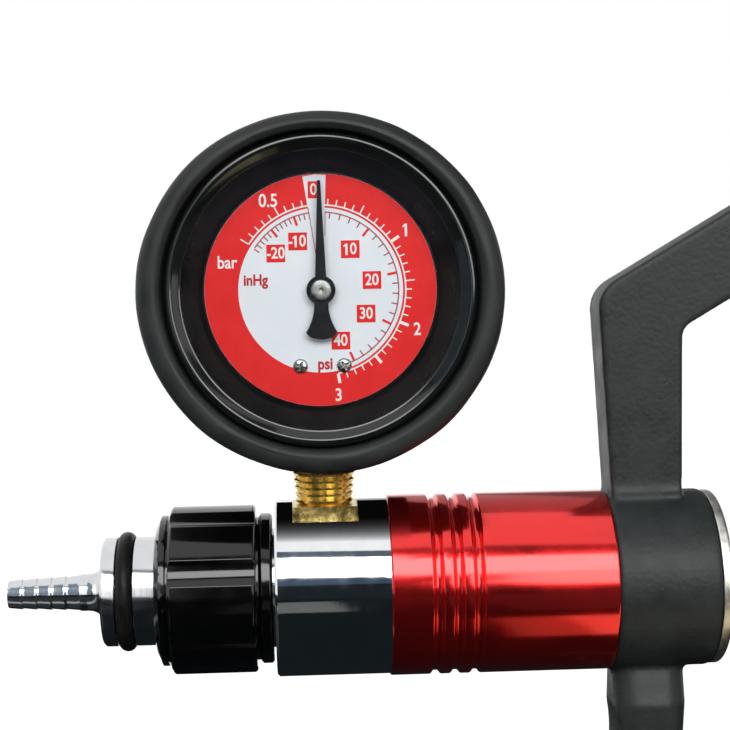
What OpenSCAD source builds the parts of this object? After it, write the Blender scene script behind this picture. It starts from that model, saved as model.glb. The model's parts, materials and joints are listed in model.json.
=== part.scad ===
// Hand-held vacuum and pressure tester: a squeeze pump with a compound gauge.
// Lengths are in millimetres. The pump axis is X, the gauge stands up along +Z and its dial faces -Y.
// The origin is on the pump axis at the end of the hose barb, where a pushed-on hose stops.

/* [Hose barb] */
// Length of the barb from its tip to the hose stop
barb_len = 18.2; // [14:0.1:26]
// Diameter over the first ridge, at the tip
barb_tip_d = 6.4; // [5.5:0.1:7]
// Diameter of the plain land at the hose stop
barb_root_d = 7.7; // [7.2:0.1:9]
// Ridges in front of the plain land
barb_ridges = 5; // [3:1:7]
// Height of the step behind each ridge
ridge_step = 0.35; // [0.2:0.05:0.5]
// Length of the straight lip on each ridge
ridge_lip = 0.6; // [0.3:0.1:1]
// Rise of that lip towards its edge
lip_rise = 0.08; // [0.04:0.01:0.15]
// Length of the plain land
root_land = 3.1; // [2:0.1:5]
// Diameter of the air passage
air_bore_d = 3.4; // [2:0.1:4]

/* [Spigot and selector seal] */
// Radius of the flare between the barb and the spigot
flare_r = 1.9; // [1:0.1:3]
// Length of the spigot in front of the seal groove
flange_len = 2.9; // [2:0.1:5]
// Thickness of the rubber seal ring
seal_section = 3.6; // [3:0.1:4]
// Length of the bare spigot between the seal groove and the sleeve
spigot_gap = 4.4; // [3:0.1:8]
// Diameter of the guide that the sleeve slides on
guide_d = 25; // [22:0.1:27]
// Height of the guide above the bare spigot
guide_step = 1.1; // [0.6:0.1:1.6]
// How far the guide starts inside the sleeve
guide_inset = 1.2; // [0.8:0.1:3]
// Thickness of the two small seals inside the sleeve
small_seal_section = 1.8; // [1.4:0.1:2.2]
// Distance of the small seals from the ends of the guide
small_seal_inset = 3.2; // [2.5:0.1:5]
// Diameter of the nozzle's threaded tail
tail_d = 16; // [12:0.5:18]
// Length of the threaded tail
tail_len = 8.5; // [6:0.5:9]
// Diameter of the cross ports
cross_port_d = 2.4; // [1.5:0.1:3]

/* [Selector sleeve] */
// Wall of the sleeve at the bottom of its two grooves
neck_wall = 2.45; // [1.6:0.05:2.8]
// Height of the end rings above those grooves
ring_step = 0.75; // [0.5:0.05:1.2]
// Height of the fluted lands above those grooves
land_step = 2.55; // [1.8:0.05:3]
// Length of the front ring
front_ring_len = 2.4; // [1.5:0.1:4]
// Length of the rear ring
rear_ring_len = 2.8; // [1.5:0.1:4]
// Length of the fluted lands
land_len = 17.7; // [14:0.1:24]
// Width of the groove between the lands and each ring
neck_w = 0.7; // [0.4:0.1:1.5]
// Length of the slope on the front ring's nose
nose_len = 1.1; // [0.5:0.1:1.8]
// Height of the slope on the front ring's nose
nose_drop = 2.4; // [1:0.1:2.6]
// Number of flutes
flute_count = 8; // [6:1:10]
// Width of a flute
flute_w = 6.0; // [4:0.1:8]
// Depth of a flute
flute_depth = 0.9; // [0.4:0.1:1.2]
// Depth of the chamber inside the sleeve that joins the cross ports
chamber_depth = 0.8; // [0.4:0.1:1]
// Length of that chamber
chamber_len = 8; // [6:0.5:11]

/* [Pump head] */
// Step from the barrel down to the chrome head
head_step = 0.4; // [0.2:0.1:1]
// Length of the chrome head
head_len = 23.6; // [22:0.1:30]
// Gap between the sleeve and the head
sleeve_gap = 0.5; // [0.3:0.1:1]
// Step in the barrel's bore that the head's boss enters
boss_step = 1.5; // [1.2:0.1:2]
// Length of that boss
boss_len = 5; // [4:0.5:8]
// Thickness of the head's seal ring
head_seal_section = 1.8; // [1.4:0.1:2.2]
// Distance of each valve from the pump axis
valve_offset = 7.5; // [6.5:0.1:8.5]
// Diameter of a valve pocket
valve_pocket_d = 9; // [8:0.1:10]
// Depth of a valve pocket
valve_pocket_depth = 9; // [8:0.1:12]
// Diameter of a valve disc
valve_disc_d = 7.4; // [6.5:0.1:7.8]
// Thickness of a valve disc
valve_disc_t = 1.2; // [0.8:0.1:1.6]
// Diameter of a valve's stem
valve_stem_d = 2.4; // [1.6:0.1:2.8]
// Length of a valve's stem
valve_stem_len = 4; // [2:0.1:4.5]
// Diameter of the holes that the valves open and close
valve_port_d = 4; // [2.4:0.1:5]
// Thickness of the valve plate
plate_t = 2; // [1.5:0.1:3]
// Distance of the plate's screws from the pump axis
plate_screw_r = 6; // [5:0.1:6.5]
// Diameter of a plate screw
plate_screw_d = 3; // [2.5:0.5:3.5]
// Length of a plate screw
plate_screw_len = 7; // [5:0.5:9]

/* [Barrel and piston] */
// Visible length of the barrel
barrel_len = 46.3; // [45:0.1:60]
// Bore of the barrel
bore_d = 28; // [26:0.1:31]
// Wall of the barrel
barrel_wall = 5; // [4.6:0.1:6]
// Distance from the head to the middle of the first groove
first_groove = 9.5; // [7:0.1:12]
// Distance between the grooves
groove_pitch = 4.15; // [3:0.05:5]
// Number of grooves
groove_count = 3; // [1:1:5]
// Width of a groove at its bottom
groove_w = 1.0; // [0.6:0.1:1.6]
// Depth of a groove
groove_depth = 0.8; // [0.4:0.1:1]
// Wall of the barrel's tail inside the collar
tail_wall = 1.8; // [1.5:0.1:2.4]
// Length of the piston
piston_len = 9; // [8:0.1:12]
// Gap between the bore and the piston
piston_clearance = 0.2; // [0.1:0.05:0.4]
// Length of the piston's cup seal
cup_len = 4; // [3:0.1:5]
// Thickness of the cup seal
cup_t = 2.6; // [1.5:0.1:3]
// Diameter of the piston rod
rod_d = 8; // [7:0.1:9]
// Diameter of the rod's threaded end
rod_thread_d = 6; // [5:0.5:6]
// Width of the piston nut across its flats
nut_af = 10; // [9:0.5:11]
// Thickness of the piston nut
nut_t = 5; // [4:0.5:6]
// Diameter of the piston washer
washer_d = 13; // [12:0.5:14]
// Thickness of the piston washer
washer_t = 0.6; // [0.5:0.1:1]
// Mean diameter of the return spring
spring_d = 21; // [19:0.5:23]
// Wire diameter of the return spring
spring_wire = 1.5; // [1:0.1:1.8]
// Turns of the return spring
spring_turns = 7; // [5:0.5:7.5]

/* [Rear cap] */
// Step from the collar down to the cap's flange
cap_step = 0.3; // [0.1:0.1:1]
// Thickness of the flange
cap_flange = 2.2; // [1.5:0.1:3]
// Length of the plug inside the barrel
cap_plug = 6; // [5:0.1:8]
// Diameter of the boss behind the flange
cap_boss_d = 18; // [16:0.5:20]
// Length of the boss behind the flange
cap_boss = 2.4; // [1:0.1:3]
// Outer diameter of the rod bush
bush_d = 11; // [10.5:0.1:12]
// Diameter of the two vent holes, which also take a pin spanner
vent_d = 2.4; // [1.5:0.1:3]
// Distance of the vent holes from the barrel's bore
vent_inset = 2.7; // [2.2:0.1:3.2]

/* [Frame] */
// Wall of the collar around the barrel's tail
collar_wall = 2.85; // [2.2:0.05:4]
// Length of the collar
collar_len = 21.2; // [19:0.1:26]
// Thickness of the arm
arm_t = 12; // [10:0.1:14]
// Distance from the collar's front face to the arm's front edge
arm_inset = 0.9; // [0.5:0.1:3]
// Width of the arm where it leaves the collar
arm_base_w = 15; // [13:0.1:17]
// Forward lean of the arm's front edge
front_lean = 3; // [0:0.1:5]
// Backward lean of the arm's rear edge
rear_lean = 1; // [0:0.1:3]
// Slope of the upper arm
upper_slope = 30; // [25:0.5:35]
// Width of the upper arm
upper_w = 16; // [14:0.1:18]
// Radius of the outer bend
outer_bend_r = 7; // [4:0.1:9]
// Radius of the inner bend
inner_bend_r = 3.2; // [2:0.1:6]
// Distance of the lever's pivot behind the collar's front face
pivot_reach = 51.4; // [48:0.1:60]
// Height of the lever's pivot above the pump axis
pivot_h = 82.7; // [80:0.1:90]
// Width of the web between the collar and the grip, front to back
grip_root = 15.5; // [14:0.1:17]
// Depth of the fixed grip, front to back
grip_depth = 15; // [13:0.1:17]
// Width of the fixed grip
grip_w = 18; // [14:0.1:20]
// How far the grip reaches below the pump axis
grip_drop = 112; // [105:0.5:125]
// Forward lean of the grip
grip_lean = 4; // [0:0.1:6]
// Height of the toe at the grip's lower end
toe_h = 14; // [10:0.5:18]
// Reach of the toe in front of the grip
toe_reach = 8; // [4:0.5:10]
// Number of finger hollows
finger_count = 4; // [3:1:4]
// Spacing of the finger hollows
finger_pitch = 19.5; // [17:0.5:20]
// Depth of a finger hollow
finger_depth = 1.6; // [0.8:0.1:2.2]
// Diameter of the collar's set screw
set_screw_d = 5; // [4:0.5:6]

/* [Lever] */
// Angle of the lever behind upright at rest
rest_tilt = 10; // [9:0.5:11]
// Angle that the lever swings through when squeezed
squeeze_angle = 20; // [16:0.5:20]
// Thickness of each cheek of the lever
cheek_t = 3.4; // [2.5:0.1:4]
// Gap between a cheek and what it straddles
cheek_gap = 0.4; // [0.3:0.05:0.8]
// Width of the lever, front to back
lever_w = 19; // [18:0.1:21]
// Thickness of the lever's back
lever_back = 2.2; // [1.8:0.1:2.6]
// Depth of the lever's grip, front to back
lever_grip_depth = 14; // [12:0.1:16]
// Backward bend of the lever's grip
lever_bend = 10; // [6:0.5:12]
// Length of the lever from its pivot to its lower end, before the bend
lever_len = 195; // [185:0.5:205]
// Diameter of the pivot pin
pivot_pin_d = 6; // [5:0.1:7]
// Diameter of the rod pin
rod_pin_d = 5; // [4:0.1:6]
// Diameter of the rod's eye
rod_eye_d = 12; // [11:0.1:12.6]
// Thickness of the pins' heads and clips
pin_head_t = 1.2; // [0.8:0.1:1.6]

/* [Gauge] */
// Distance of the gauge stem behind the front of the head
stem_inset = 10.6; // [10.4:0.1:12]
// Outer diameter of the gauge case
case_d = 63; // [58:0.1:70]
// Gap between the pump head and the rubber boot
boot_gap = 7; // [6:0.1:12]
// Wall of the rubber boot
boot_wall = 5.4; // [4.5:0.1:7]
// Wall of the gauge case
case_wall = 1.6; // [1:0.1:1.8]
// Depth of the case behind the stem's axis
case_back = 11; // [10:0.1:13]
// Depth of the case in front of the stem's axis
case_front = 14.6; // [14.2:0.1:18]
// Thickness of the boot behind the case
boot_back = 2.4; // [1.5:0.1:4]
// How far the boot's rolled front stands in front of the bezel
boot_lip = 1.8; // [1:0.1:3]
// Gap between the boot's mouth and the bezel
boot_mouth_gap = 0.6; // [0.3:0.1:1.5]
// Depth of that gap behind the bezel's front
boot_mouth_depth = 2.2; // [1:0.1:3]
// Radius of the boot's rear edge
boot_edge_r = 5; // [3:0.1:5.4]
// Width of the boot's rim behind the case
boot_rear_rim = 8.5; // [6:0.1:12]
// Height of the bezel's lip in front of the lens
bezel_lip = 1.5; // [1:0.1:2.5]
// Width of the bezel
bezel_w = 2.4; // [2.1:0.1:3.5]
// Thickness of the lens
lens_t = 2; // [1.5:0.1:3]
// Thickness of the lens gasket
gasket_t = 0.6; // [0.4:0.1:1]
// Width of the dark ring around the dial, out to the case's outside
dial_margin = 7.9; // [7:0.1:9]
// Thickness of the dial
dial_t = 0.8; // [0.5:0.1:1]
// Distance of the dial's face in front of the stem's axis
dial_front = 10; // [9.8:0.1:11]
// Gap around the dial inside the spacer ring
dial_gap = 0.5; // [0.3:0.1:1]
// Distance of the needle's tip from the dial's edge
needle_margin = 1.4; // [0.8:0.1:4]
// Length of the needle's tail
needle_tail = 10; // [7:0.1:12]
// Width of the needle beside its hub
needle_w = 2.3; // [1.6:0.1:3]
// Width of the needle at its tip
needle_tip_w = 0.6; // [0.4:0.1:1]
// Width of the tail at its end
needle_tail_w = 6.4; // [4:0.1:8]
// Diameter of the needle's hub
needle_hub_d = 5.9; // [5:0.1:7]
// Thickness of the needle
needle_t = 0.6; // [0.4:0.1:0.8]
// Height of the needle above the dial
needle_lift = 1.2; // [0.9:0.1:1.6]
// Diameter of the bright cap on the needle
needle_cap_d = 4.2; // [3:0.1:4.8]
// Height of that cap
needle_cap_h = 0.7; // [0.5:0.1:0.9]
// Distance between the two dial screws
dial_screw_gap = 8.9; // [8:0.1:10]
// Distance of the dial screws below the dial's centre
dial_screw_drop = 15.4; // [14.5:0.1:16]
// Diameter of a dial screw's head
dial_screw_head = 3.05; // [2.4:0.05:3.4]
// Diameter of a dial screw's thread
dial_screw_d = 1.6; // [1.2:0.1:1.8]

/* [Gauge stem] */
// Diameter of the ringed brass neck at the boot
neck_thread_d = 13.2; // [11:0.1:13.6]
// Diameter of the neck at the square
neck_foot_d = 11.9; // [10:0.1:12.6]
// Depth of the rings on the neck
neck_ring_depth = 0.5; // [0.2:0.05:0.8]
// Distance between the rings
neck_ring_pitch = 1.4; // [0.8:0.05:1.5]
// Width of the square across its flats
square_w = 13.4; // [13:0.1:15]
// Height of the square
square_h = 2.6; // [2:0.1:4]
// Depth of the square's seat below the top of the head
seat_depth = 3.5; // [3:0.1:3.8]
// Diameter of the thread in the head
stem_thread_d = 9.8; // [9:0.1:10.5]
// Length of the thread in the head
stem_thread_len = 5.8; // [5:0.1:6]

/* [Gauge movement] */
// Teeth on the pinion
pinion_teeth = 16; // [14:1:18]
// Gear module
gear_module = 0.2; // [0.18:0.01:0.22]
// Turns of the needle for one turn of the sector
gear_ratio = 8; // [7:0.5:8]
// Angle from zero to the vacuum end of the scale
scale_below = 56.5; // [50:0.5:60]
// Angle from zero to the pressure end of the scale
scale_above = 169.5; // [150:0.5:170]
// Distance of the curved tube's middle from the inside of the case
tube_inset = 8.9; // [7.5:0.1:10]
// Thickness of the tube across its curve
tube_t = 2.6; // [2:0.1:3.2]
// Width of the tube
tube_w = 8; // [6:0.1:8.4]
// Thickness of the movement's plates
movement_t = 1; // [0.8:0.1:1.1]
// Length of the sector's tail
tail_arm = 5; // [4.5:0.1:5.2]
// Turns of the hairspring
hair_turns = 3; // [2:0.5:3.5]

/* [Hidden] */
$fn = 96;
cut = 0.5;
fit = 0.05;
pin_fit = 0.02;
run_gap = 0.3;
edge = 0.5;
play = 0.2;

// Diameters built up from the bores outwards
spigot_d = guide_d - 2 * guide_step;
neck_d = guide_d + 2 * fit + 2 * neck_wall;
sleeve_ring_d = neck_d + 2 * ring_step;
sleeve_land_d = neck_d + 2 * land_step;
barrel_d = bore_d + 2 * barrel_wall;
barrel_tail_d = bore_d + 2 * tail_wall;
boss_d = bore_d + 2 * boss_step;
head_d = barrel_d - 2 * head_step;
collar_d = barrel_tail_d + 2 * fit + 2 * collar_wall;
cap_d = collar_d - 2 * cap_step;
vent_r = bore_d / 2 - vent_inset;

// Places along the pump axis
flange_x = flare_r;
seal_groove_w = seal_section + run_gap;
seal_groove_x = flange_x + flange_len;
sleeve_x = seal_groove_x + seal_groove_w + spigot_gap;
land_x = sleeve_x + front_ring_len + neck_w;
rear_ring_x = land_x + land_len + neck_w;
sleeve_end = rear_ring_x + rear_ring_len;
head_x = sleeve_end + sleeve_gap;
barrel_x = head_x + head_len;
boss_end = barrel_x + boss_len;
plate_end = boss_end + plate_t;
collar_x = barrel_x + barrel_len;
cap_x = collar_x + collar_len;
flange_end = cap_x + cap_flange;
cap_end = flange_end + cap_boss;
plug_x = cap_x - cap_plug;
piston_end = plug_x - run_gap;
piston_x = piston_end - piston_len;
guide_x = sleeve_x + guide_inset;
stem_x = head_x + stem_inset;

// Radii of the nozzle and the sleeve
barb_tip_r = barb_tip_d / 2;
root_r = barb_root_d / 2;
spigot_r = spigot_d / 2;
guide_r = guide_d / 2;
sleeve_bore_r = guide_r + fit;
seal_mid_r = guide_r - seal_section / 2;
small_seal_mid_r = guide_r - small_seal_section / 2;
small_groove_w = small_seal_section + run_gap;
small_seal_x = [guide_x + small_seal_inset, head_x - small_seal_inset];
ridge_len = (barb_len - root_land) / barb_ridges;
front_port_x = (guide_x + head_x) / 2 - chamber_len / 3;
rear_port_x = (guide_x + head_x) / 2 + chamber_len / 3;
chamber_x = (guide_x + head_x) / 2 - chamber_len / 2;
port_wall = 1.2;
port_reach = cross_port_d / 2 + port_wall / 2;
flute_r = (flute_w * flute_w / 4 + flute_depth * flute_depth) / (2 * flute_depth);
flute_phase = 24.5;

// Head, valves and barrel
passage_d = 3;
pocket_x = boss_end - valve_pocket_depth;
cross_x = (head_x + tail_len + pocket_x) / 2;
head_seal_x = barrel_x + boss_len / 2;
head_groove_w = head_seal_section + run_gap;
head_seal_mid_r = boss_d / 2 - head_seal_section / 2;
intake_y = -valve_offset;
exhaust_y = valve_offset;
valve_wire = 0.5;
valve_coil_d = valve_stem_d + 3 * valve_wire;
valve_turns = 4;
intake_disc_x = pocket_x + fit;
exhaust_disc_x = boss_end - valve_disc_t - fit;
valve_coil_len = valve_pocket_depth - valve_disc_t - 3 * fit;
barrel_step_x = plate_end + run_gap;
groove_slope = 0.6;
cup_x = piston_x + (piston_len - cup_len) / 2;
cup_r = bore_d / 2 - fit;
piston_r = bore_d / 2 - piston_clearance;
rod_end = 1;
rod_front_x = piston_x - washer_t - nut_t - rod_end;
set_screw_x = collar_x + collar_len / 2;

// Lever, pivot and rod pin
pivot_x = collar_x + pivot_reach;
eye_x = pivot_x + pivot_h * tan(rest_tilt);
slot_near = pivot_h - run_gap;
slot_far = pivot_h / cos(max(rest_tilt, squeeze_angle - rest_tilt)) + run_gap;
cheek_in = arm_t / 2 + cheek_gap;
cheek_out = cheek_in + cheek_t;
lever_r = lever_w / 2;
tongue_w = arm_t;
web_top = upper_w / 2 + run_gap + lever_back;
slot_floor = 3;
lever_grip_top = slot_far + rod_eye_d / 2 + slot_floor;
lever_grip_w = 2 * cheek_out;
pin_shank = cheek_out + run_gap;
pin_head_step = 1.6;
pin_head_d = pivot_pin_d + 2 * pin_head_step;
rod_head_d = rod_pin_d + 2 * pin_head_step;

// Gauge, measured forward from the stem's axis
case_r = case_d / 2;
case_in_r = case_r - case_wall;
lens_back = case_front;
lens_front = lens_back + lens_t;
bezel_front = lens_front + fit + bezel_lip;
boot_in_r = case_r + 2 * fit;
boot_r = boot_in_r + boot_wall;
boot_d = 2 * boot_r;
boot_mouth_r = case_r + boot_mouth_gap;
boot_rear_r = case_r - boot_rear_rim;
boot_band = boot_r - boot_mouth_r;
boot_front_r = 0.64 * boot_band;
boot_mouth_round = 0.33 * boot_band;
bezel_mouth_r = case_r - bezel_w;
bezel_round = 0.45 * min(bezel_w, 2 * bezel_lip);
dial_r = case_r - dial_margin;
dial_d = 2 * dial_r;
needle_len = dial_r - needle_margin;
gauge_z = head_d / 2 + boot_gap + boot_r;
seat_z = head_d / 2 - seat_depth;
boot_front = bezel_front + fit + boot_lip;
boot_rear = -case_back - boot_back;
dial_rear = dial_front - dial_t;
spacer_rear = dial_rear - dial_t;
spacer_front = lens_back - gasket_t;
needle_rear = dial_front + needle_lift;
needle_front = needle_rear + needle_t;
rear_plate_z = 3.4;
sector_z = rear_plate_z + movement_t + 2 * play;
sector_t = 0.8;
link_z = sector_z + sector_t + play;
link_t = 0.6;
front_plate_z = link_z + link_t + 2 * play;
front_plate_top = front_plate_z + movement_t;
hair_z = front_plate_top + play;
hair_t = 0.35;
arbor_d = 1.6;
collet_r = 1.44;
sector_arbor_d = 1.8;
pinion_r = gear_module * pinion_teeth / 2;
sector_r = pinion_r * gear_ratio;
gear_gap = pinion_r + sector_r;
tooth_pitch = 360 / pinion_teeth;
sector_pitch = tooth_pitch / gear_ratio;
tooth_tip = 0.9 * gear_module;
tooth_root = 1.25 * gear_module;
half_sweep = (scale_below + scale_above) / gear_ratio / 2;
sector_rest = (scale_above - scale_below) / 2 / gear_ratio;
sector_half = half_sweep + 2 * sector_pitch;
tail_y = -gear_gap - tail_arm;
plate_half_w = 9;
plate_top_y = 6;
plate_margin = 2.6;
plate_corner = 2;
plate_low_y = tail_y - plate_margin;
block_half_w = 7;
block_low_y = -sqrt(case_in_r * case_in_r - block_half_w * block_half_w) + run_gap;
block_top_y = -12;
block_rear = -6;
block_front = rear_plate_z;
tube_r = case_in_r - tube_inset;
tube_start = 256;
tube_socket = 30;
tube_wall = 0.4;
tube_end = -45;
tube_mid_z = block_front - 2 * play - tube_w / 2;
tip_inset = 8;
tip_x = tube_r - tip_inset;
tip_pin_d = 1.2;
tail_pin_d = 1;
tip_pad_t = 1;
tip_pad_w = 1.4;
tip_pad_lap = 0.4;
tube_plug = 5;
pillar_d = 2.4;
pillars = [[-7, 3], [7, 3], [-7, -20], [7, -11]];
stud_x = 6;
stud_d = 1;
case_screw_x = 4;
case_screw_inset = 4.5;
case_screw_y = case_screw_inset - tube_r;
case_screw_d = 3;
case_screw_grip = 2.5;
case_screw_head_d = 5.4;
case_screw_head_h = 1;

// Arc of points that rounds the corner b between a and c
function corner(a, b, c, r, steps = 8) =
    let (u = (a - b) / norm(a - b), v = (c - b) / norm(c - b))
    let (half = acos(u * v) / 2, out = (u + v) / norm(u + v))
    let (o = b + out * r / sin(half), p = b + u * r / tan(half), q = b + v * r / tan(half))
    let (start = atan2(p.y - o.y, p.x - o.x), stop = atan2(q.y - o.y, q.x - o.x))
    let (turn = (stop - start + 540) % 360 - 180)
    [for (i = [0:steps]) o + r * [cos(start + turn * i / steps), sin(start + turn * i / steps)]];

// Outline through corners given as [x, y, radius]; a radius of 0 leaves the corner sharp
function rounded(c) = let (n = len(c)) [for (i = [0:n - 1])
    let (a = c[(i + n - 1) % n], b = c[i], d = c[(i + 1) % n])
    each (b.z > 0 ? corner([a.x, a.y], [b.x, b.y], [d.x, d.y], b.z) : [[b.x, b.y]])];

// Rectangle with rounded corners, centred
function pad(w, h, r) = rounded([
    [w / 2, h / 2, r], [-w / 2, h / 2, r], [-w / 2, -h / 2, r], [w / 2, -h / 2, r]]);

// Point on a circle
function polar(r, a) = [r * cos(a), r * sin(a)];

// Meeting point of the line through p at angle a with the line through q at angle b
function meet(p, a, q, b) =
    let (u = [cos(a), sin(a)], v = [cos(b), sin(b)], d = q - p)
    p + u * (d.x * v.y - d.y * v.x) / (u.x * v.y - u.y * v.x);

// Local z along the pump axis
module along_x(x, y = 0) {
    translate([x, y, 0])
        rotate([0, 90, 0])
            children();
}

// Local z out of the dial, local y up
module at_gauge(z = 0) {
    translate([stem_x, -z, gauge_z])
        rotate([90, 0, 0])
            children();
}

// Local x along the pump, local y up, thickness t across the object
module slab(t) {
    rotate([90, 0, 0])
        linear_extrude(t, center = true)
            children();
}

module tube_x(x, length, outer, inner, y = 0) {
    along_x(x, y)
        difference() {
            cylinder(h = length, d = outer);
            translate([0, 0, -cut])
                cylinder(h = length + 2 * cut, d = inner);
        }
}

module seal_ring(x, mid_r, section) {
    along_x(x)
        rotate_extrude()
            translate([mid_r, 0])
                circle(d = section, $fn = 32);
}

// Ring of metal taken out of the outside of a round piece
module ring_cut(x, width, bottom_d, outer_d) {
    tube_x(x, width, outer_d + 2 * cut, bottom_d);
}

// Places of the rings along a coil of given length, mean diameter, wire and turns
coil_steps = 8;
coil_sides = 6;
function coil_point(i, d, wire, length, turns) =
    let (n = coil_steps * turns)
    let (a = 360 * i / coil_steps)
    [d / 2 * cos(a), d / 2 * sin(a), wire / 2 + (length - wire) * i / n];

// One unbroken wire wound along z
module coil(d, wire, length, turns) {
    n = floor(coil_steps * turns);
    points = [for (i = [0:n], k = [0:coil_sides - 1])
        let (p = coil_point(i, d, wire, length, turns), a = 360 * i / coil_steps, b = 360 * k / coil_sides)
        p + wire / 2 * [cos(b) * cos(a), cos(b) * sin(a), sin(b)]];
    walls = [for (i = [0:n - 1], k = [0:coil_sides - 1])
        let (a = i * coil_sides + k, b = i * coil_sides + (k + 1) % coil_sides)
        each [[a, a + coil_sides, b], [b, a + coil_sides, b + coil_sides]]];
    first = [for (k = [1:coil_sides - 2]) [0, k, k + 1]];
    last = [for (k = [1:coil_sides - 2]) [n * coil_sides, n * coil_sides + k + 1, n * coil_sides + k]];
    polyhedron(points = points, faces = concat(walls, first, last), convexity = 8);
}

// Profile of the nozzle from its tip to its threaded tail, as [radius, x]
function ridge_r(i) = barb_tip_r + (root_r - barb_tip_r) * i / barb_ridges;
nozzle_profile = concat(
    [[0, -barb_len]],
    [for (i = [0:barb_ridges - 1]) each [
        [ridge_r(i) - ridge_step, -barb_len + i * ridge_len],
        [ridge_r(i) - lip_rise, -barb_len + (i + 1) * ridge_len - ridge_lip],
        [ridge_r(i), -barb_len + (i + 1) * ridge_len]]],
    [[root_r, -root_land]],
    [for (i = [0:8]) [root_r + flare_r * (1 - cos(90 * i / 8)), flare_r * sin(90 * i / 8)]],
    [[spigot_r - edge, flange_x], [spigot_r, flange_x + edge]],
    [[spigot_r, guide_x], [guide_r, guide_x + guide_r - spigot_r], [guide_r, head_x]],
    [[tail_d / 2, head_x], [tail_d / 2, head_x + tail_len], [0, head_x + tail_len]]);

module nozzle() {
    color("silver")
        difference() {
            along_x(0)
                rotate_extrude()
                    polygon(nozzle_profile);
            ring_cut(seal_groove_x, seal_groove_w, 2 * (seal_mid_r - seal_section / 2 - fit), spigot_d);
            for (x = small_seal_x)
                ring_cut(x - small_groove_w / 2, small_groove_w,
                    2 * (small_seal_mid_r - small_seal_section / 2 - fit), guide_d);
            along_x(-barb_len - cut)
                cylinder(h = barb_len + cut + front_port_x + port_reach, d = air_bore_d);
            along_x(rear_port_x - port_reach)
                cylinder(h = head_x + tail_len - rear_port_x + port_reach + cut, d = air_bore_d);
            for (x = [front_port_x, rear_port_x])
                translate([x, 0, 0])
                    cylinder(h = guide_d + 2 * cut, d = cross_port_d, center = true);
        }
}

module nozzle_seal() {
    color("#1a1a1a")
        seal_ring(seal_groove_x + seal_groove_w / 2, seal_mid_r, seal_section);
}

module sleeve_seals() {
    color("#1a1a1a")
        for (x = small_seal_x)
            seal_ring(x, small_seal_mid_r, small_seal_section);
}

ring_r = sleeve_ring_d / 2;
land_r = sleeve_land_d / 2;
sleeve_neck_r = neck_d / 2;
sleeve_profile = [
    [sleeve_bore_r, sleeve_x], [ring_r - nose_drop, sleeve_x],
    [ring_r, sleeve_x + nose_len], [ring_r, sleeve_x + front_ring_len],
    [sleeve_neck_r, sleeve_x + front_ring_len], [sleeve_neck_r, land_x],
    [land_r - edge, land_x], [land_r, land_x + edge],
    [land_r, land_x + land_len - edge], [land_r - edge, land_x + land_len],
    [sleeve_neck_r, land_x + land_len], [sleeve_neck_r, rear_ring_x],
    [ring_r - edge, rear_ring_x], [ring_r, rear_ring_x + edge],
    [ring_r, sleeve_end - edge], [ring_r - edge, sleeve_end], [sleeve_bore_r, sleeve_end]];

module selector_sleeve() {
    color("#202020")
        difference() {
            along_x(0)
                rotate_extrude()
                    polygon(sleeve_profile);
            along_x(chamber_x)
                cylinder(h = chamber_len, r = sleeve_bore_r + chamber_depth);
            for (i = [0:flute_count - 1])
                rotate([flute_phase + 360 * i / flute_count, 0, 0])
                    translate([land_x - cut, -land_r - flute_r + flute_depth, 0])
                        rotate([0, 90, 0])
                            cylinder(h = land_len + 2 * cut, r = flute_r);
        }
}

head_profile = [
    [0, head_x], [head_d / 2 - edge, head_x], [head_d / 2, head_x + edge],
    [head_d / 2, barrel_x], [boss_d / 2, barrel_x], [boss_d / 2, boss_end], [0, boss_end]];

module pump_head() {
    color("silver")
        difference() {
            along_x(0)
                rotate_extrude()
                    polygon(head_profile);
            along_x(head_x - cut)
                cylinder(h = tail_len + cut + fit, d = tail_d + 2 * fit);
            along_x(head_x)
                cylinder(h = cross_x - head_x, d = passage_d);
            translate([cross_x, 0, 0])
                rotate([90, 0, 0])
                    cylinder(h = 2 * valve_offset, d = passage_d, center = true);
            for (y = [intake_y, exhaust_y]) {
                along_x(cross_x, y)
                    cylinder(h = pocket_x - cross_x + cut, d = passage_d);
                along_x(pocket_x, y)
                    cylinder(h = valve_pocket_depth + cut, d = valve_pocket_d);
            }
            ring_cut(head_seal_x - head_groove_w / 2, head_groove_w,
                2 * (head_seal_mid_r - head_seal_section / 2 - fit), boss_d);
            translate([stem_x, 0, seat_z])
                linear_extrude(head_d)
                    square([square_w + 2 * fit, head_d], center = true);
            translate([stem_x, 0, seat_z - stem_thread_len - fit])
                cylinder(h = head_d, d = stem_thread_d + 2 * fit);
            translate([stem_x, 0, 0])
                cylinder(h = seat_z, d = passage_d);
            for (side = [-1, 1])
                translate([0, 0, side * plate_screw_r])
                    along_x(plate_end - plate_screw_len - fit)
                        cylinder(h = plate_screw_len, d = plate_screw_d + 2 * fit);
        }
}

module head_seal() {
    color("#1a1a1a")
        seal_ring(head_seal_x, head_seal_mid_r, head_seal_section);
}

module valve() {
    cylinder(h = valve_disc_t, d = valve_disc_d);
    cylinder(h = valve_disc_t + valve_stem_len, d = valve_stem_d);
}

module intake_valve() {
    color("#3a3a3a")
        along_x(intake_disc_x, intake_y)
            valve();
}

module exhaust_valve() {
    color("#3a3a3a")
        along_x(exhaust_disc_x + valve_disc_t, exhaust_y)
            mirror([0, 0, 1])
                valve();
}

module intake_spring() {
    color("lightgray")
        along_x(intake_disc_x + valve_disc_t + fit, intake_y)
            coil(valve_coil_d, valve_wire, valve_coil_len, valve_turns);
}

module exhaust_spring() {
    color("lightgray")
        along_x(pocket_x + fit, exhaust_y)
            coil(valve_coil_d, valve_wire, valve_coil_len, valve_turns);
}

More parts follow.
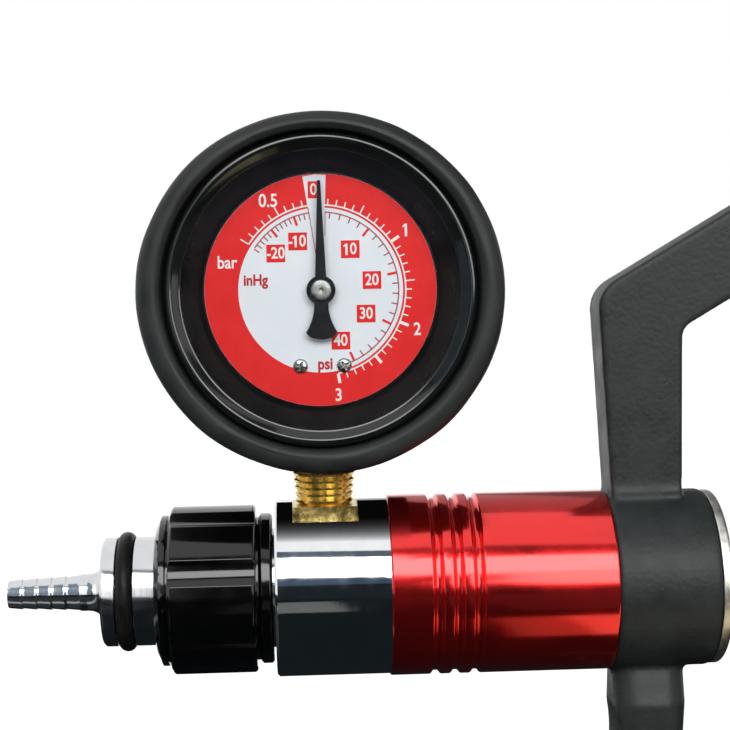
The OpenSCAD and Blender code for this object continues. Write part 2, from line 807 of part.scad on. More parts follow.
module valve_plate() {
    color("lightgray")
        difference() {
            along_x(boss_end)
                cylinder(h = plate_t, d = boss_d);
            for (y = [intake_y, exhaust_y])
                along_x(boss_end - cut, y)
                    cylinder(h = plate_t + 2 * cut, d = valve_port_d);
            for (side = [-1, 1])
                translate([0, 0, side * plate_screw_r])
                    along_x(boss_end - cut)
                        cylinder(h = plate_t + 2 * cut, d = plate_screw_d + 2 * fit);
        }
}

module valve_plate_screws() {
    color("gray")
        for (side = [-1, 1])
            translate([0, 0, side * plate_screw_r])
                along_x(plate_end - plate_screw_len) {
                    cylinder(h = plate_screw_len, d = plate_screw_d);
                    translate([0, 0, plate_screw_len])
                        cylinder(h = plate_t / 2, d = plate_screw_d + plate_t);
                }
}

barrel_r = barrel_d / 2;
function groove_mid(i) = barrel_x + first_groove + i * groove_pitch;
barrel_profile = concat(
    [[bore_d / 2, barrel_step_x], [boss_d / 2 + fit, barrel_step_x], [boss_d / 2 + fit, barrel_x]],
    [[barrel_r - edge / 2, barrel_x], [barrel_r, barrel_x + edge / 2]],
    [for (i = [0:groove_count - 1]) each [
        [barrel_r, groove_mid(i) - groove_w / 2 - groove_slope],
        [barrel_r - groove_depth, groove_mid(i) - groove_w / 2],
        [barrel_r - groove_depth, groove_mid(i) + groove_w / 2],
        [barrel_r, groove_mid(i) + groove_w / 2 + groove_slope]]],
    [[barrel_r, collar_x - edge / 2], [barrel_r - edge / 2, collar_x], [barrel_tail_d / 2, collar_x]],
    [[barrel_tail_d / 2, cap_x - run_gap], [bore_d / 2, cap_x - run_gap]]);

module barrel() {
    color("#c01020")
        along_x(0)
            rotate_extrude()
                polygon(barrel_profile);
}

module return_spring() {
    color("lightgray")
        along_x(plate_end + fit)
            coil(spring_d, spring_wire, piston_x - plate_end - 2 * fit, spring_turns);
}

module piston() {
    color("gray")
        difference() {
            along_x(piston_x)
                cylinder(h = piston_len, r = piston_r);
            ring_cut(cup_x - fit, cup_len + 2 * fit, 2 * (cup_r - cup_t - fit), bore_d);
            along_x(piston_x - cut)
                cylinder(h = piston_len + 2 * cut, d = rod_thread_d + 2 * fit);
        }
}

module piston_seal() {
    color("#1a1a1a")
        tube_x(cup_x, cup_len, 2 * cup_r, 2 * (cup_r - cup_t));
}

module piston_washer() {
    color("lightgray")
        tube_x(piston_x - washer_t, washer_t, washer_d, rod_thread_d + 2 * fit);
}

module piston_nut() {
    color("lightgray")
        along_x(piston_x - washer_t - nut_t)
            difference() {
                cylinder(h = nut_t, d = nut_af / cos(30), $fn = 6);
                translate([0, 0, -cut])
                    cylinder(h = nut_t + 2 * cut, d = rod_thread_d + 2 * fit);
            }
}

module piston_rod() {
    color("silver")
        difference() {
            union() {
                along_x(rod_front_x)
                    cylinder(h = piston_end - rod_front_x + cut, d = rod_thread_d);
                along_x(piston_end)
                    cylinder(h = eye_x - piston_end, d = rod_d);
                translate([eye_x, 0, 0])
                    rotate([90, 0, 0])
                        cylinder(h = tongue_w, d = rod_eye_d, center = true);
            }
            translate([eye_x, 0, 0])
                rotate([90, 0, 0])
                    cylinder(h = tongue_w + 2 * cut, d = rod_pin_d + 2 * pin_fit, center = true);
        }
}

module rod_bush() {
    color("#b08d3c")
        tube_x(plug_x, cap_end - plug_x, bush_d, rod_d + 2 * fit);
}

cap_profile = [
    [bush_d / 2 + pin_fit, plug_x], [bore_d / 2 - fit, plug_x], [bore_d / 2 - fit, cap_x],
    [cap_d / 2, cap_x], [cap_d / 2, flange_end - edge], [cap_d / 2 - edge, flange_end],
    [cap_boss_d / 2, flange_end], [cap_boss_d / 2, cap_end], [bush_d / 2 + pin_fit, cap_end]];

module rear_cap() {
    color("silver")
        difference() {
            along_x(0)
                rotate_extrude()
                    polygon(cap_profile);
            for (side = [-1, 1])
                along_x(plug_x - cut, side * vent_r)
                    cylinder(h = flange_end - plug_x + 2 * cut, d = vent_d);
        }
}

// Side outline of the arm: up from the collar, then back along the slope to the lever's pivot
pivot = [pivot_x, pivot_h];
upper_up = upper_w / 2 * [-sin(upper_slope), cos(upper_slope)];
front_foot = [collar_x + arm_inset, collar_d / 2];
rear_foot = [collar_x + arm_inset + arm_base_w, collar_d / 2];
outer_bend = meet(front_foot, 90 + front_lean, pivot + upper_up, upper_slope);
inner_bend = meet(rear_foot, 90 - rear_lean, pivot - upper_up, upper_slope);
arm_sink = 1.6;
arm_root_z = barrel_tail_d / 2 + arm_sink;
arm_outline = rounded([
    [front_foot.x, arm_root_z, 0], [rear_foot.x, arm_root_z, 0], [rear_foot.x, rear_foot.y, 0],
    [inner_bend.x, inner_bend.y, inner_bend_r],
    [pivot.x - upper_up.x, pivot.y - upper_up.y, 0], [pivot.x + upper_up.x, pivot.y + upper_up.y, 0],
    [outer_bend.x, outer_bend.y, outer_bend_r], [front_foot.x, front_foot.y, 0]]);

// Stations down the fixed grip: [x of the middle, z, depth, width]
grip_mid_x = collar_x + arm_inset + grip_root / 2;
grip_top_z = -arm_root_z;
grip_neck = 7;
grip_neck_z = -collar_d / 2 - grip_neck;
function grip_x(z) = grip_mid_x + (z - grip_neck_z) * tan(grip_lean);
grip_low_z = -grip_drop + toe_h;
toe_narrow = 2;
grip_stations = [
    [grip_mid_x, grip_top_z, grip_root, arm_t],
    [grip_mid_x, grip_neck_z, grip_depth, grip_w],
    [grip_x(grip_low_z), grip_low_z, grip_depth, grip_w],
    [grip_x(-grip_drop) - toe_reach / 2, -grip_drop, grip_depth + toe_reach, grip_w - toe_narrow]];
grip_corner = 5;

// Smooth bar through stations of [x, z, depth, width]
slice = 0.02;
module bar(stations, radius) {
    for (i = [0:len(stations) - 2])
        hull()
            for (s = [stations[i], stations[i + 1]])
                translate([s[0], 0, s[1]])
                    linear_extrude(slice, center = true)
                        polygon(pad(s[2], s[3], radius));
}

finger_r = (finger_pitch * finger_pitch / 4 + finger_depth * finger_depth) / (2 * finger_depth);
finger_lift = 1;
finger_top_z = grip_neck_z - finger_pitch / 2 + finger_lift;

module frame() {
    color("#181818")
        difference() {
            union() {
                along_x(collar_x)
                    rotate_extrude()
                        polygon([[0, 0], [collar_d / 2 - edge / 2, 0], [collar_d / 2, edge / 2],
                            [collar_d / 2, collar_len - edge], [collar_d / 2 - edge, collar_len],
                            [0, collar_len]]);
                slab(arm_t)
                    polygon(arm_outline);
                translate([pivot_x, 0, pivot_h])
                    rotate([90, 0, 0])
                        cylinder(h = arm_t, d = upper_w, center = true);
                bar(grip_stations, grip_corner);
            }
            along_x(collar_x - cut)
                cylinder(h = collar_len + 2 * cut, d = barrel_tail_d + 2 * fit);
            translate([pivot_x, 0, pivot_h])
                rotate([90, 0, 0])
                    cylinder(h = arm_t + 2 * cut, d = pivot_pin_d + 2 * pin_fit, center = true);
            translate([set_screw_x, 0, 0])
                rotate([-90, 0, 0])
                    cylinder(h = collar_d, d = set_screw_d + 2 * fit);
            for (i = [0:finger_count - 1])
                let (z = finger_top_z - i * finger_pitch)
                translate([grip_x(z) - grip_depth / 2 - finger_r + finger_depth, 0, z])
                    rotate([90, 0, 0])
                        cylinder(h = grip_w + 2 * cut, r = finger_r, center = true);
        }
}

module collar_set_screw() {
    color("gray")
        translate([set_screw_x, barrel_tail_d / 2 + fit, 0])
            rotate([-90, 0, 0])
                difference() {
                    cylinder(h = (collar_d - barrel_tail_d) / 2 - edge, d = set_screw_d);
                    translate([0, 0, (collar_d - barrel_tail_d) / 4])
                        cylinder(h = collar_d, d = set_screw_d / 2, $fn = 6);
                }
}

// Lever in its own frame: pivot at the origin, upright, its front towards -x
function lever_x(z) = z < -lever_grip_top ? (-lever_grip_top - z) * tan(lever_bend) : 0;
lever_neck_len = 22;
lever_neck_z = -lever_grip_top - lever_neck_len;
lever_end_len = 12;
lever_end_z = -lever_len + lever_end_len;
lever_end_thin = 3;
lever_end_narrow = 4;
lever_stations = [
    [0, -lever_grip_top, lever_w, lever_grip_w],
    [lever_x(lever_neck_z), lever_neck_z, lever_grip_depth, lever_grip_w],
    [lever_x(lever_end_z), lever_end_z, lever_grip_depth, lever_grip_w],
    [lever_x(-lever_len), -lever_len, lever_grip_depth - lever_end_thin, lever_grip_w - lever_end_narrow]];
lever_corner = 4;

module cheek() {
    rotate([90, 0, 0])
        linear_extrude(cheek_t, center = true) {
            circle(r = lever_r);
            translate([-lever_r, -lever_grip_top])
                square([lever_w, lever_grip_top]);
        }
}

module lever() {
    color("#181818")
        translate([pivot_x, 0, pivot_h])
            rotate([0, -rest_tilt, 0])
                difference() {
                    union() {
                        for (side = [-1, 1])
                            translate([0, side * (cheek_in + cheek_t / 2), 0])
                                cheek();
                        translate([lever_r - lever_back, -cheek_in - cut, -lever_grip_top])
                            cube([lever_back, 2 * (cheek_in + cut), lever_grip_top - web_top]);
                        bar(lever_stations, lever_corner);
                    }
                    rotate([90, 0, 0])
                        cylinder(h = lever_grip_w + 2 * cut, d = pivot_pin_d + 2 * fit, center = true);
                    for (z = [slot_near, slot_far])
                        translate([0, 0, -z])
                            rotate([90, 0, 0])
                                cylinder(h = lever_grip_w + 2 * cut,
                                    d = rod_pin_d + 2 * run_gap, center = true);
                    translate([-rod_pin_d / 2 - run_gap, -cheek_out - cut, -slot_far])
                        cube([rod_pin_d + 2 * run_gap, lever_grip_w + 2 * cut, slot_far - slot_near]);
                }
}

// Pin across the object with a head at the dial side
module cross_pin(d, head_d) {
    rotate([90, 0, 0]) {
        cylinder(h = 2 * (pin_shank + pin_head_t), d = d, center = true);
        translate([0, 0, pin_shank])
            cylinder(h = pin_head_t, d = head_d);
    }
}

// Clip on the pin's end away from the dial
module cross_clip(d, head_d) {
    translate([0, pin_shank, 0])
        rotate([-90, 0, 0])
            difference() {
                cylinder(h = pin_head_t, d = head_d);
                translate([0, 0, -cut])
                    cylinder(h = pin_head_t + 2 * cut, d = d + 2 * pin_fit);
            }
}

module pivot_pin() {
    color("silver")
        translate([pivot_x, 0, pivot_h])
            cross_pin(pivot_pin_d, pin_head_d);
}

module pivot_clip() {
    color("gray")
        translate([pivot_x, 0, pivot_h])
            cross_clip(pivot_pin_d, pin_head_d);
}

module rod_pin() {
    color("silver")
        translate([eye_x, 0, 0])
            cross_pin(rod_pin_d, rod_head_d);
}

module rod_pin_clip() {
    color("gray")
        translate([eye_x, 0, 0])
            cross_clip(rod_pin_d, rod_head_d);
}

// Ringed neck, square, thread and the block that carries the movement
neck_low_z = seat_z + square_h;
neck_high_z = gauge_z + block_low_y;
neck_taper_h = gauge_z - boot_r - neck_low_z;
neck_rings = floor((neck_high_z - neck_low_z) / neck_ring_pitch);
function ring_z(i) = neck_low_z + i * neck_ring_pitch;
neck_spread = (neck_thread_d - neck_foot_d) / 2;
function neck_r(z) = neck_foot_d / 2 + neck_spread * min(1, (z - neck_low_z) / neck_taper_h);
neck_profile = concat(
    [[0, neck_low_z - cut], [neck_foot_d / 2 - neck_ring_depth, neck_low_z - cut]],
    [for (i = [0:neck_rings - 1]) each [
        [neck_r(ring_z(i)) - neck_ring_depth, ring_z(i)],
        [neck_r(ring_z(i + 0.4)), ring_z(i + 0.4)],
        [neck_r(ring_z(i + 0.7)), ring_z(i + 0.7)]]],
    [[neck_thread_d / 2 - neck_ring_depth, ring_z(neck_rings)]],
    [[neck_thread_d / 2 - neck_ring_depth, neck_high_z + cut], [0, neck_high_z + cut]]);

module gauge_stem() {
    color("#c9a23a")
        difference() {
            union() {
                translate([stem_x, 0, 0])
                    rotate_extrude()
                        polygon(neck_profile);
                translate([stem_x, 0, seat_z])
                    linear_extrude(square_h)
                        square(square_w, center = true);
                translate([stem_x, 0, seat_z - stem_thread_len])
                    cylinder(h = stem_thread_len + cut, d = stem_thread_d);
                at_gauge()
                    translate([-block_half_w, block_low_y, block_rear])
                        cube([2 * block_half_w, block_top_y - block_low_y, block_front - block_rear]);
            }
            translate([stem_x, 0, seat_z - stem_thread_len - cut])
                cylinder(h = gauge_z + block_top_y - port_wall - seat_z + stem_thread_len, d = passage_d);
            at_gauge()
                for (side = [-1, 1])
                    translate([side * case_screw_x, case_screw_y, block_rear - cut])
                        cylinder(h = case_screw_grip + cut + fit, d = case_screw_d + 2 * fit);
            at_gauge(tube_mid_z)
                rotate(tube_start - tube_socket)
                    rotate_extrude(angle = tube_socket + 0.2)
                        translate([tube_r, 0])
                            square([tube_t + 2 * fit, tube_w + 2 * fit], center = true);
            at_gauge(tube_mid_z)
                translate(polar(tube_r, tube_start))
                    rotate([0, 90, 0])
                        cylinder(h = -polar(tube_r, tube_start).x, d = tube_t / 2);
        }
}

module gauge_case() {
    color("#1c1c1c")
        difference() {
            at_gauge()
                translate([0, 0, -case_back])
                    cylinder(h = case_back + case_front, r = case_r);
            at_gauge()
                translate([0, 0, -case_back + case_wall])
                    cylinder(h = case_back + case_front, r = case_in_r);
            translate([stem_x, 0, gauge_z - case_d])
                cylinder(h = case_d, d = neck_thread_d + 2 * fit);
            at_gauge()
                for (side = [-1, 1])
                    translate([side * case_screw_x, case_screw_y, -case_back - cut])
                        cylinder(h = case_wall + 2 * cut, d = case_screw_d + 2 * fit);
        }
}

module case_screws() {
    color("gray")
        at_gauge()
            for (side = [-1, 1])
                translate([side * case_screw_x, case_screw_y, 0]) {
                    translate([0, 0, -case_back])
                        cylinder(h = case_back + block_rear + case_screw_grip, d = case_screw_d);
                    translate([0, 0, -case_back - case_screw_head_h])
                        cylinder(h = case_screw_head_h, d = case_screw_head_d);
                }
}

// Half section of the boot: a cup whose rolled front stands clear of the bezel
boot_profile = rounded([
    [boot_rear_r, boot_rear, 0], [boot_r, boot_rear, boot_edge_r],
    [boot_r, boot_front, boot_front_r], [boot_mouth_r, boot_front, boot_mouth_round],
    [boot_mouth_r, bezel_front - boot_mouth_depth / 2, 0],
    [boot_in_r, bezel_front - boot_mouth_depth, 0],
    [boot_in_r, -case_back - fit, 0], [boot_rear_r, -case_back - fit, 0]]);

module gauge_boot() {
    color("#202224")
        difference() {
            at_gauge()
                rotate_extrude()
                    polygon(boot_profile);
            translate([stem_x, 0, gauge_z - boot_d])
                cylinder(h = boot_d, d = neck_thread_d + 2 * run_gap);
        }
}

// Half section of the bezel: a rounded bead that steps over the edge of the lens
bezel_profile = rounded([
    [case_in_r + fit, case_front, 0], [case_r, case_front, 0], [case_r, bezel_front, bezel_round],
    [bezel_mouth_r, bezel_front, bezel_round], [bezel_mouth_r, lens_front + fit, 0],
    [case_in_r + fit, lens_front + fit, 0]]);

module bezel() {
    color("#141414")
        at_gauge()
            rotate_extrude()
                polygon(bezel_profile);
}

module lens() {
    color("#d8e8ee", 0.3)
        at_gauge()
            translate([0, 0, lens_back])
                cylinder(h = lens_t, r = case_in_r);
}

spacer_out_r = case_in_r - fit;
spacer_in_r = dial_r + dial_gap;
spacer_lip_r = bezel_mouth_r - 2 * play;

module lens_gasket() {
    color("#1a1a1a")
        at_gauge()
            difference() {
                translate([0, 0, spacer_front])
                    cylinder(h = gasket_t, r = spacer_out_r);
                translate([0, 0, spacer_front - cut])
                    cylinder(h = gasket_t + 2 * cut, r = spacer_lip_r);
            }
}

module spacer_ring() {
    color("#161616")
        at_gauge()
            rotate_extrude()
                polygon([[spacer_in_r, spacer_rear], [spacer_out_r, spacer_rear],
                    [spacer_out_r, spacer_front], [spacer_lip_r, spacer_front], [spacer_in_r, dial_rear]]);
}

module dial() {
    color("white")
        at_gauge()
            difference() {
                translate([0, 0, dial_rear])
                    cylinder(h = dial_t, d = dial_d);
                translate([0, 0, dial_rear - cut])
                    cylinder(h = dial_t + 2 * cut, d = arbor_d * 2);
                for (side = [-1, 1])
                    translate([side * dial_screw_gap / 2, -dial_screw_drop, dial_rear - cut])
                        cylinder(h = dial_t + 2 * cut, d = dial_screw_d + 2 * fit);
            }
}

dial_screw_head_h = 0.7;

module dial_screws() {
    color("lightgray")
        at_gauge()
            for (side = [-1, 1])
                translate([side * dial_screw_gap / 2, -dial_screw_drop, 0]) {
                    translate([0, 0, front_plate_z])
                        cylinder(h = dial_front - front_plate_z + cut, d = dial_screw_d);
                    translate([0, 0, dial_front])
                        cylinder(h = dial_screw_head_h,
                            d1 = dial_screw_head, d2 = dial_screw_head - dial_screw_head_h);
                }
}

// Outline of the needle: a taper to the tip and a tail that spreads like a fish's
tail_neck = needle_w * 0.62;
tail_edge = 1.4;
tail_corner = 0.8;
tail_bow = 0.5;
tail_steps = 6;
function tail_side(i) = let (t = i / tail_steps)
    [tail_neck + (needle_tail_w / 2 - tail_neck) * t * t,
        -needle_hub_d / 2 - (needle_tail - needle_hub_d / 2 - tail_edge) * t];
needle_outline = concat(
    [[needle_tip_w / 2, needle_len], [-needle_tip_w / 2, needle_len]],
    [[-needle_w / 2, needle_hub_d / 3], [-tail_neck, -needle_hub_d / 3]],
    [for (i = [0:tail_steps]) [-tail_side(i).x, tail_side(i).y]],
    [for (i = [0:tail_steps]) let (t = 2 * i / tail_steps - 1)
        [t * (needle_tail_w / 2 - tail_corner), -needle_tail + tail_bow * t * t]],
    [for (i = [tail_steps:-1:0]) tail_side(i)],
    [[tail_neck, -needle_hub_d / 3], [needle_w / 2, needle_hub_d / 3]]);

module needle() {
    color("#101010")
        at_gauge(needle_rear)
            difference() {
                linear_extrude(needle_t) {
                    polygon(needle_outline);
                    circle(d = needle_hub_d);
                }
                translate([0, 0, -cut])
                    cylinder(h = needle_t + 2 * cut, d = arbor_d + 2 * pin_fit);
            }
}

module needle_cap() {
    color("lightgray")
        at_gauge(needle_front)
            cylinder(h = needle_cap_h, d1 = needle_cap_d, d2 = needle_cap_d - needle_cap_h);
}

// Tooth from root to tip on a gear of pitch radius r whose teeth are a degrees apart
tooth_foot = 0.33;
tooth_crest = 0.14;
function tooth(r, a, at) = [
    polar(r - tooth_root - fit, at - a * tooth_foot), polar(r + tooth_tip, at - a * tooth_crest),
    polar(r + tooth_tip, at + a * tooth_crest), polar(r - tooth_root - fit, at + a * tooth_foot)];

module pinion_arbor() {
    color("#c9a23a")
        at_gauge() {
            translate([0, 0, rear_plate_z + fit])
                cylinder(h = needle_front - rear_plate_z - fit, d = arbor_d);
            translate([0, 0, hair_z])
                cylinder(h = hair_t, r = collet_r);
            translate([0, 0, sector_z - play / 2])
                linear_extrude(sector_t + play) {
                    circle(r = pinion_r - tooth_root);
                    for (i = [0:pinion_teeth - 1])
                        polygon(tooth(pinion_r, tooth_pitch, -90 + tooth_pitch * (i + 0.5)));
                }
        }
}

plate_outline = rounded([
    [plate_half_w, plate_top_y, plate_corner], [-plate_half_w, plate_top_y, plate_corner],
    [-plate_half_w, plate_low_y, plate_corner], [plate_half_w, plate_low_y, plate_corner]]);

module movement_plate(z, holes) {
    at_gauge(z)
        difference() {
            linear_extrude(movement_t)
                polygon(plate_outline);
            for (h = holes)
                translate([h[0], h[1], -cut])
                    cylinder(h = movement_t + 2 * cut, d = h[2]);
        }
}

arbor_holes = [[0, 0, arbor_d + 2 * fit], [0, -gear_gap, sector_arbor_d + 2 * fit]];

module movement_rear_plate() {
    color("#c9a23a")
        movement_plate(rear_plate_z, arbor_holes);
}

module movement_front_plate() {
    color("#c9a23a") {
        movement_plate(front_plate_z, concat(arbor_holes, [for (side = [-1, 1])
            [side * dial_screw_gap / 2, -dial_screw_drop, dial_screw_d + 2 * fit]]));
        at_gauge(front_plate_top)
            translate([stud_x, 0, 0])
                cylinder(h = hair_t + 2 * play, d = stud_d);
    }
}

// Posts between the two plates and from the front plate to the dial
module movement_pillars() {
    color("#c9a23a")
        at_gauge() {
            for (p = pillars)
                translate([p.x, p.y, rear_plate_z + movement_t])
                    cylinder(h = front_plate_z - rear_plate_z - movement_t, d = pillar_d);
            for (side = [-1, 1])
                translate([side * dial_screw_gap / 2, -dial_screw_drop, front_plate_top])
                    difference() {
                        cylinder(h = dial_rear - front_plate_top, d = dial_screw_d * 2);
                        translate([0, 0, -cut])
                            cylinder(h = dial_rear, d = dial_screw_d + 2 * fit);
                    }
        }
}

// The sector's tooth at the pinion stays at 90 degrees, and its middle leans by its rest angle
module sector_gear() {
    first = ceil((-sector_rest - sector_half) / sector_pitch);
    last = floor((-sector_rest + sector_half) / sector_pitch);
    color("#c9a23a")
        at_gauge(sector_z)
            translate([0, -gear_gap, 0])
                difference() {
                    union() {
                        linear_extrude(sector_t) {
                            polygon(concat([[0, 0]], [for (k = [first:last])
                                polar(sector_r - tooth_root, 90 + k * sector_pitch)]));
                            for (k = [first:last])
                                polygon(tooth(sector_r, sector_pitch, 90 + k * sector_pitch));
                            circle(d = sector_arbor_d * 2);
                            rotate(-90 - sector_rest)
                                translate([0, -tip_pin_d])
                                    square([tail_arm + 2 * tip_pin_d, 2 * tip_pin_d]);
                        }
                        translate([0, 0, rear_plate_z + fit - sector_z])
                            cylinder(h = front_plate_top - rear_plate_z - 2 * fit, d = sector_arbor_d);
                    }
                    rotate(-90 - sector_rest)
                        translate([tail_arm, 0, -cut])
                            cylinder(h = sector_t + 2 * cut, d = tail_pin_d + 2 * fit);
                }
}

tail_pin = [0, -gear_gap] + polar(tail_arm, -90 - sector_rest);
link_y = tail_pin.y;
link_slot = 2 * tail_arm * sin(half_sweep);
link_ahead = tail_arm * (sin(half_sweep) - sin(sector_rest));

module bourdon_tube() {
    color("#c9a23a")
        at_gauge(tube_mid_z)
            difference() {
                rotate(tube_end)
                    rotate_extrude(angle = tube_start - tube_end)
                        translate([tube_r, 0])
                            square([tube_t, tube_w], center = true);
                rotate(tube_end + tube_plug)
                    rotate_extrude(angle = tube_start - tube_end)
                        translate([tube_r, 0])
                            square([tube_t - 2 * tube_wall, tube_w - 2 * tube_wall], center = true);
            }
}

// Bracket on the tube's free end with the pin that draws the link
module tube_tip() {
    foot = polar(tube_r, tube_end);
    color("#c9a23a") {
        at_gauge(tube_mid_z - tube_w / 2)
            rotate(tube_end)
                translate([tube_r, -tip_pin_d])
                    linear_extrude(tube_w)
                        square([tube_t, 2 * tip_pin_d], center = true);
        at_gauge(link_z - fit - tip_pad_t)
            linear_extrude(tip_pad_t)
                polygon([foot + [tube_t / 2, tip_pad_lap], [tip_x + tip_pad_w, link_y - tip_pad_t],
                    [tip_x - tip_pad_w, link_y - tip_pad_t], foot - [tube_t / 2, tip_pad_lap]]);
        at_gauge(tube_mid_z + tube_w / 2 - cut)
            linear_extrude(link_z - fit - tip_pad_t - tube_mid_z - tube_w / 2 + 2 * cut)
                rotate(tube_end)
                    translate([tube_r, -tip_pin_d])
                        square([tube_t, 2 * tip_pin_d], center = true);
        at_gauge(link_z - cut)
            translate([tip_x, link_y, 0])
                cylinder(h = link_t + cut, d = tip_pin_d);
    }
}

// Flat link pinned to the sector's tail, slotted at the tube's end
module tip_link() {
    slot_low = tip_x - link_slot + link_ahead;
    slot_high = slot_low + link_slot;
    color("silver") {
        at_gauge(link_z)
            linear_extrude(link_t)
                difference() {
                    translate([tail_pin.x - tip_pin_d, link_y - tip_pin_d])
                        square([slot_high - tail_pin.x + 3 * tip_pin_d, 2 * tip_pin_d]);
                    for (x = [slot_low, slot_high])
                        translate([x, link_y])
                            circle(d = tip_pin_d + 2 * run_gap);
                    translate([slot_low, link_y - tip_pin_d / 2 - run_gap])
                        square([link_slot, tip_pin_d + 2 * run_gap]);
                }
        at_gauge(sector_z)
            translate([tail_pin.x, link_y, 0])
                cylinder(h = link_z - sector_z + cut, d = tail_pin_d);
    }
}

// Flat spiral from the arbor's collet out to the stud
hair_w = 0.25;
hair_gap = 0.15;
hair_in_r = collet_r + hair_gap;
hair_out_r = stud_x - stud_d / 2 - fit;
function hair_r(t) = hair_in_r + (hair_out_r - hair_in_r - hair_w) * t;
hair_steps = 24;

module hairspring() {
    n = floor(hair_steps * hair_turns);
    color("#8a8a8a")
        at_gauge(hair_z)
            linear_extrude(hair_t)
                polygon(concat(
                    [for (i = [0:n]) polar(hair_r(i / n), 360 * (i - n) / hair_steps)],
                    [for (i = [n:-1:0]) polar(hair_r(i / n) + hair_w, 360 * (i - n) / hair_steps)]));
}

nozzle();
nozzle_seal();
sleeve_seals();
selector_sleeve();
pump_head();
head_seal();
intake_valve();
exhaust_valve();
intake_spring();
exhaust_spring();
valve_plate();
valve_plate_screws();
barrel();
return_spring();
piston();
piston_seal();
piston_washer();
piston_nut();
piston_rod();
rod_bush();
rear_cap();
frame();
collar_set_screw();
lever();
pivot_pin();
pivot_clip();
rod_pin();
rod_pin_clip();
gauge_stem();
gauge_case();
gauge_boot();
bezel();
lens();
lens_gasket();
spacer_ring();
dial();
dial_screws();
needle();
needle_cap();
pinion_arbor();
movement_rear_plate();
movement_front_plate();
movement_pillars();
sector_gear();
bourdon_tube();
tube_tip();
tip_link();
hairspring();
case_screws();
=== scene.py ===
import json
import math

import bpy
from mathutils import Matrix, Vector

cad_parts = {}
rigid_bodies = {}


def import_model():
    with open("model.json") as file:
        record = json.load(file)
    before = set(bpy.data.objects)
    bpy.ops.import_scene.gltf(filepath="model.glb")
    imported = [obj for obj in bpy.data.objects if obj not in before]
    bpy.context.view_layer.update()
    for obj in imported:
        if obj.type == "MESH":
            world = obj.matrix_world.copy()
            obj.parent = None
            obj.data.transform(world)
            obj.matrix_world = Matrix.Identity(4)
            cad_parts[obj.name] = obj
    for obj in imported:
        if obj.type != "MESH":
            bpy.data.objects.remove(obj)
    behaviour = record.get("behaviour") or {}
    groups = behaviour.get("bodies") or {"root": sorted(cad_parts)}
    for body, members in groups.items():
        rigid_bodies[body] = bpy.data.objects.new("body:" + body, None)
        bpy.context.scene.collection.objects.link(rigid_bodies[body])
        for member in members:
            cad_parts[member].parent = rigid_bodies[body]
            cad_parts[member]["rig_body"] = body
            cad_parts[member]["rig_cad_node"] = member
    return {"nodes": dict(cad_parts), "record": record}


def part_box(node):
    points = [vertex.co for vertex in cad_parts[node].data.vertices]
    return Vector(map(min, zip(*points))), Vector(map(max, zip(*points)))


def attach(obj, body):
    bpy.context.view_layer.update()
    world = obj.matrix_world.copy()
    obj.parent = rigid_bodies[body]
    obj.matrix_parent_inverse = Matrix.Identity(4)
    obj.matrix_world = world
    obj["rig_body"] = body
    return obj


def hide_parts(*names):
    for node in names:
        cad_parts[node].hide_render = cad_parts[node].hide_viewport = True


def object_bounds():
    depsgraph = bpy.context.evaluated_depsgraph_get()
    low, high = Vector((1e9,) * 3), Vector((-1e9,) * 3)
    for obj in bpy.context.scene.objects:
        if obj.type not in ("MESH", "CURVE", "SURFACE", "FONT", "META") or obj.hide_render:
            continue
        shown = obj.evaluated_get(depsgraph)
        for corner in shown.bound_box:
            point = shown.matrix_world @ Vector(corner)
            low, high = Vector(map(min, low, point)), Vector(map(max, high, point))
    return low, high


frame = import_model()
cad_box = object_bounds()
nodes = frame["nodes"]
MM = 0.001
FULL_TURN = 2 * math.pi
UP = Vector((0, 0, 1))
OUT = Vector((0, -1, 0))


# Helpers for modelling

def pick_only(piece):
    """Leaves this piece alone selected and active."""
    bpy.ops.object.select_all(action="DESELECT")
    piece.select_set(True)
    bpy.context.view_layer.objects.active = piece


def open_mesh(piece, wanted=None):
    """Opens the piece in edit mode with the wanted vertices selected, or all of them."""
    pick_only(piece)
    bpy.ops.object.mode_set(mode="EDIT")
    bpy.ops.mesh.select_mode(type="VERT")
    bpy.ops.mesh.select_all(action="SELECT" if wanted is None else "DESELECT")
    if wanted is None:
        return
    bpy.ops.object.mode_set(mode="OBJECT")
    for vertex in piece.data.vertices:
        vertex.select = wanted(vertex)
    bpy.ops.object.mode_set(mode="EDIT")


def close_mesh():
    bpy.ops.object.mode_set(mode="OBJECT")


def clean(piece, gap=1e-6):
    """Merges doubles and turns the faces outwards."""
    open_mesh(piece)
    bpy.ops.mesh.remove_doubles(threshold=gap)
    bpy.ops.mesh.normals_make_consistent(inside=False)
    close_mesh()


def add_and_apply(piece, kind, **settings):
    """Adds a modifier with these settings and applies it."""
    pick_only(piece)
    modifier = piece.modifiers.new(kind.lower(), kind)
    for key, value in settings.items():
        setattr(modifier, key, value)
    bpy.ops.object.modifier_apply(modifier=modifier.name)


def copy_of(node, name):
    """A merged copy of a CAD node's mesh, ready to be worked."""
    pick_only(nodes[node])
    bpy.ops.object.duplicate()
    piece = bpy.context.object
    piece.name = name
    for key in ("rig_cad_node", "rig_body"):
        if key in piece:
            del piece[key]
    bpy.ops.mesh.customdata_custom_splitnormals_clear()
    clean(piece)
    return piece


def another(piece, name):
    """A copy with its own mesh."""
    pick_only(piece)
    bpy.ops.object.duplicate()
    bpy.context.object.name = name
    return bpy.context.object


def join(pieces, name):
    bpy.ops.object.select_all(action="DESELECT")
    for piece in pieces:
        piece.select_set(True)
    bpy.context.view_layer.objects.active = pieces[0]
    bpy.ops.object.join()
    bpy.context.object.name = name
    return bpy.context.object


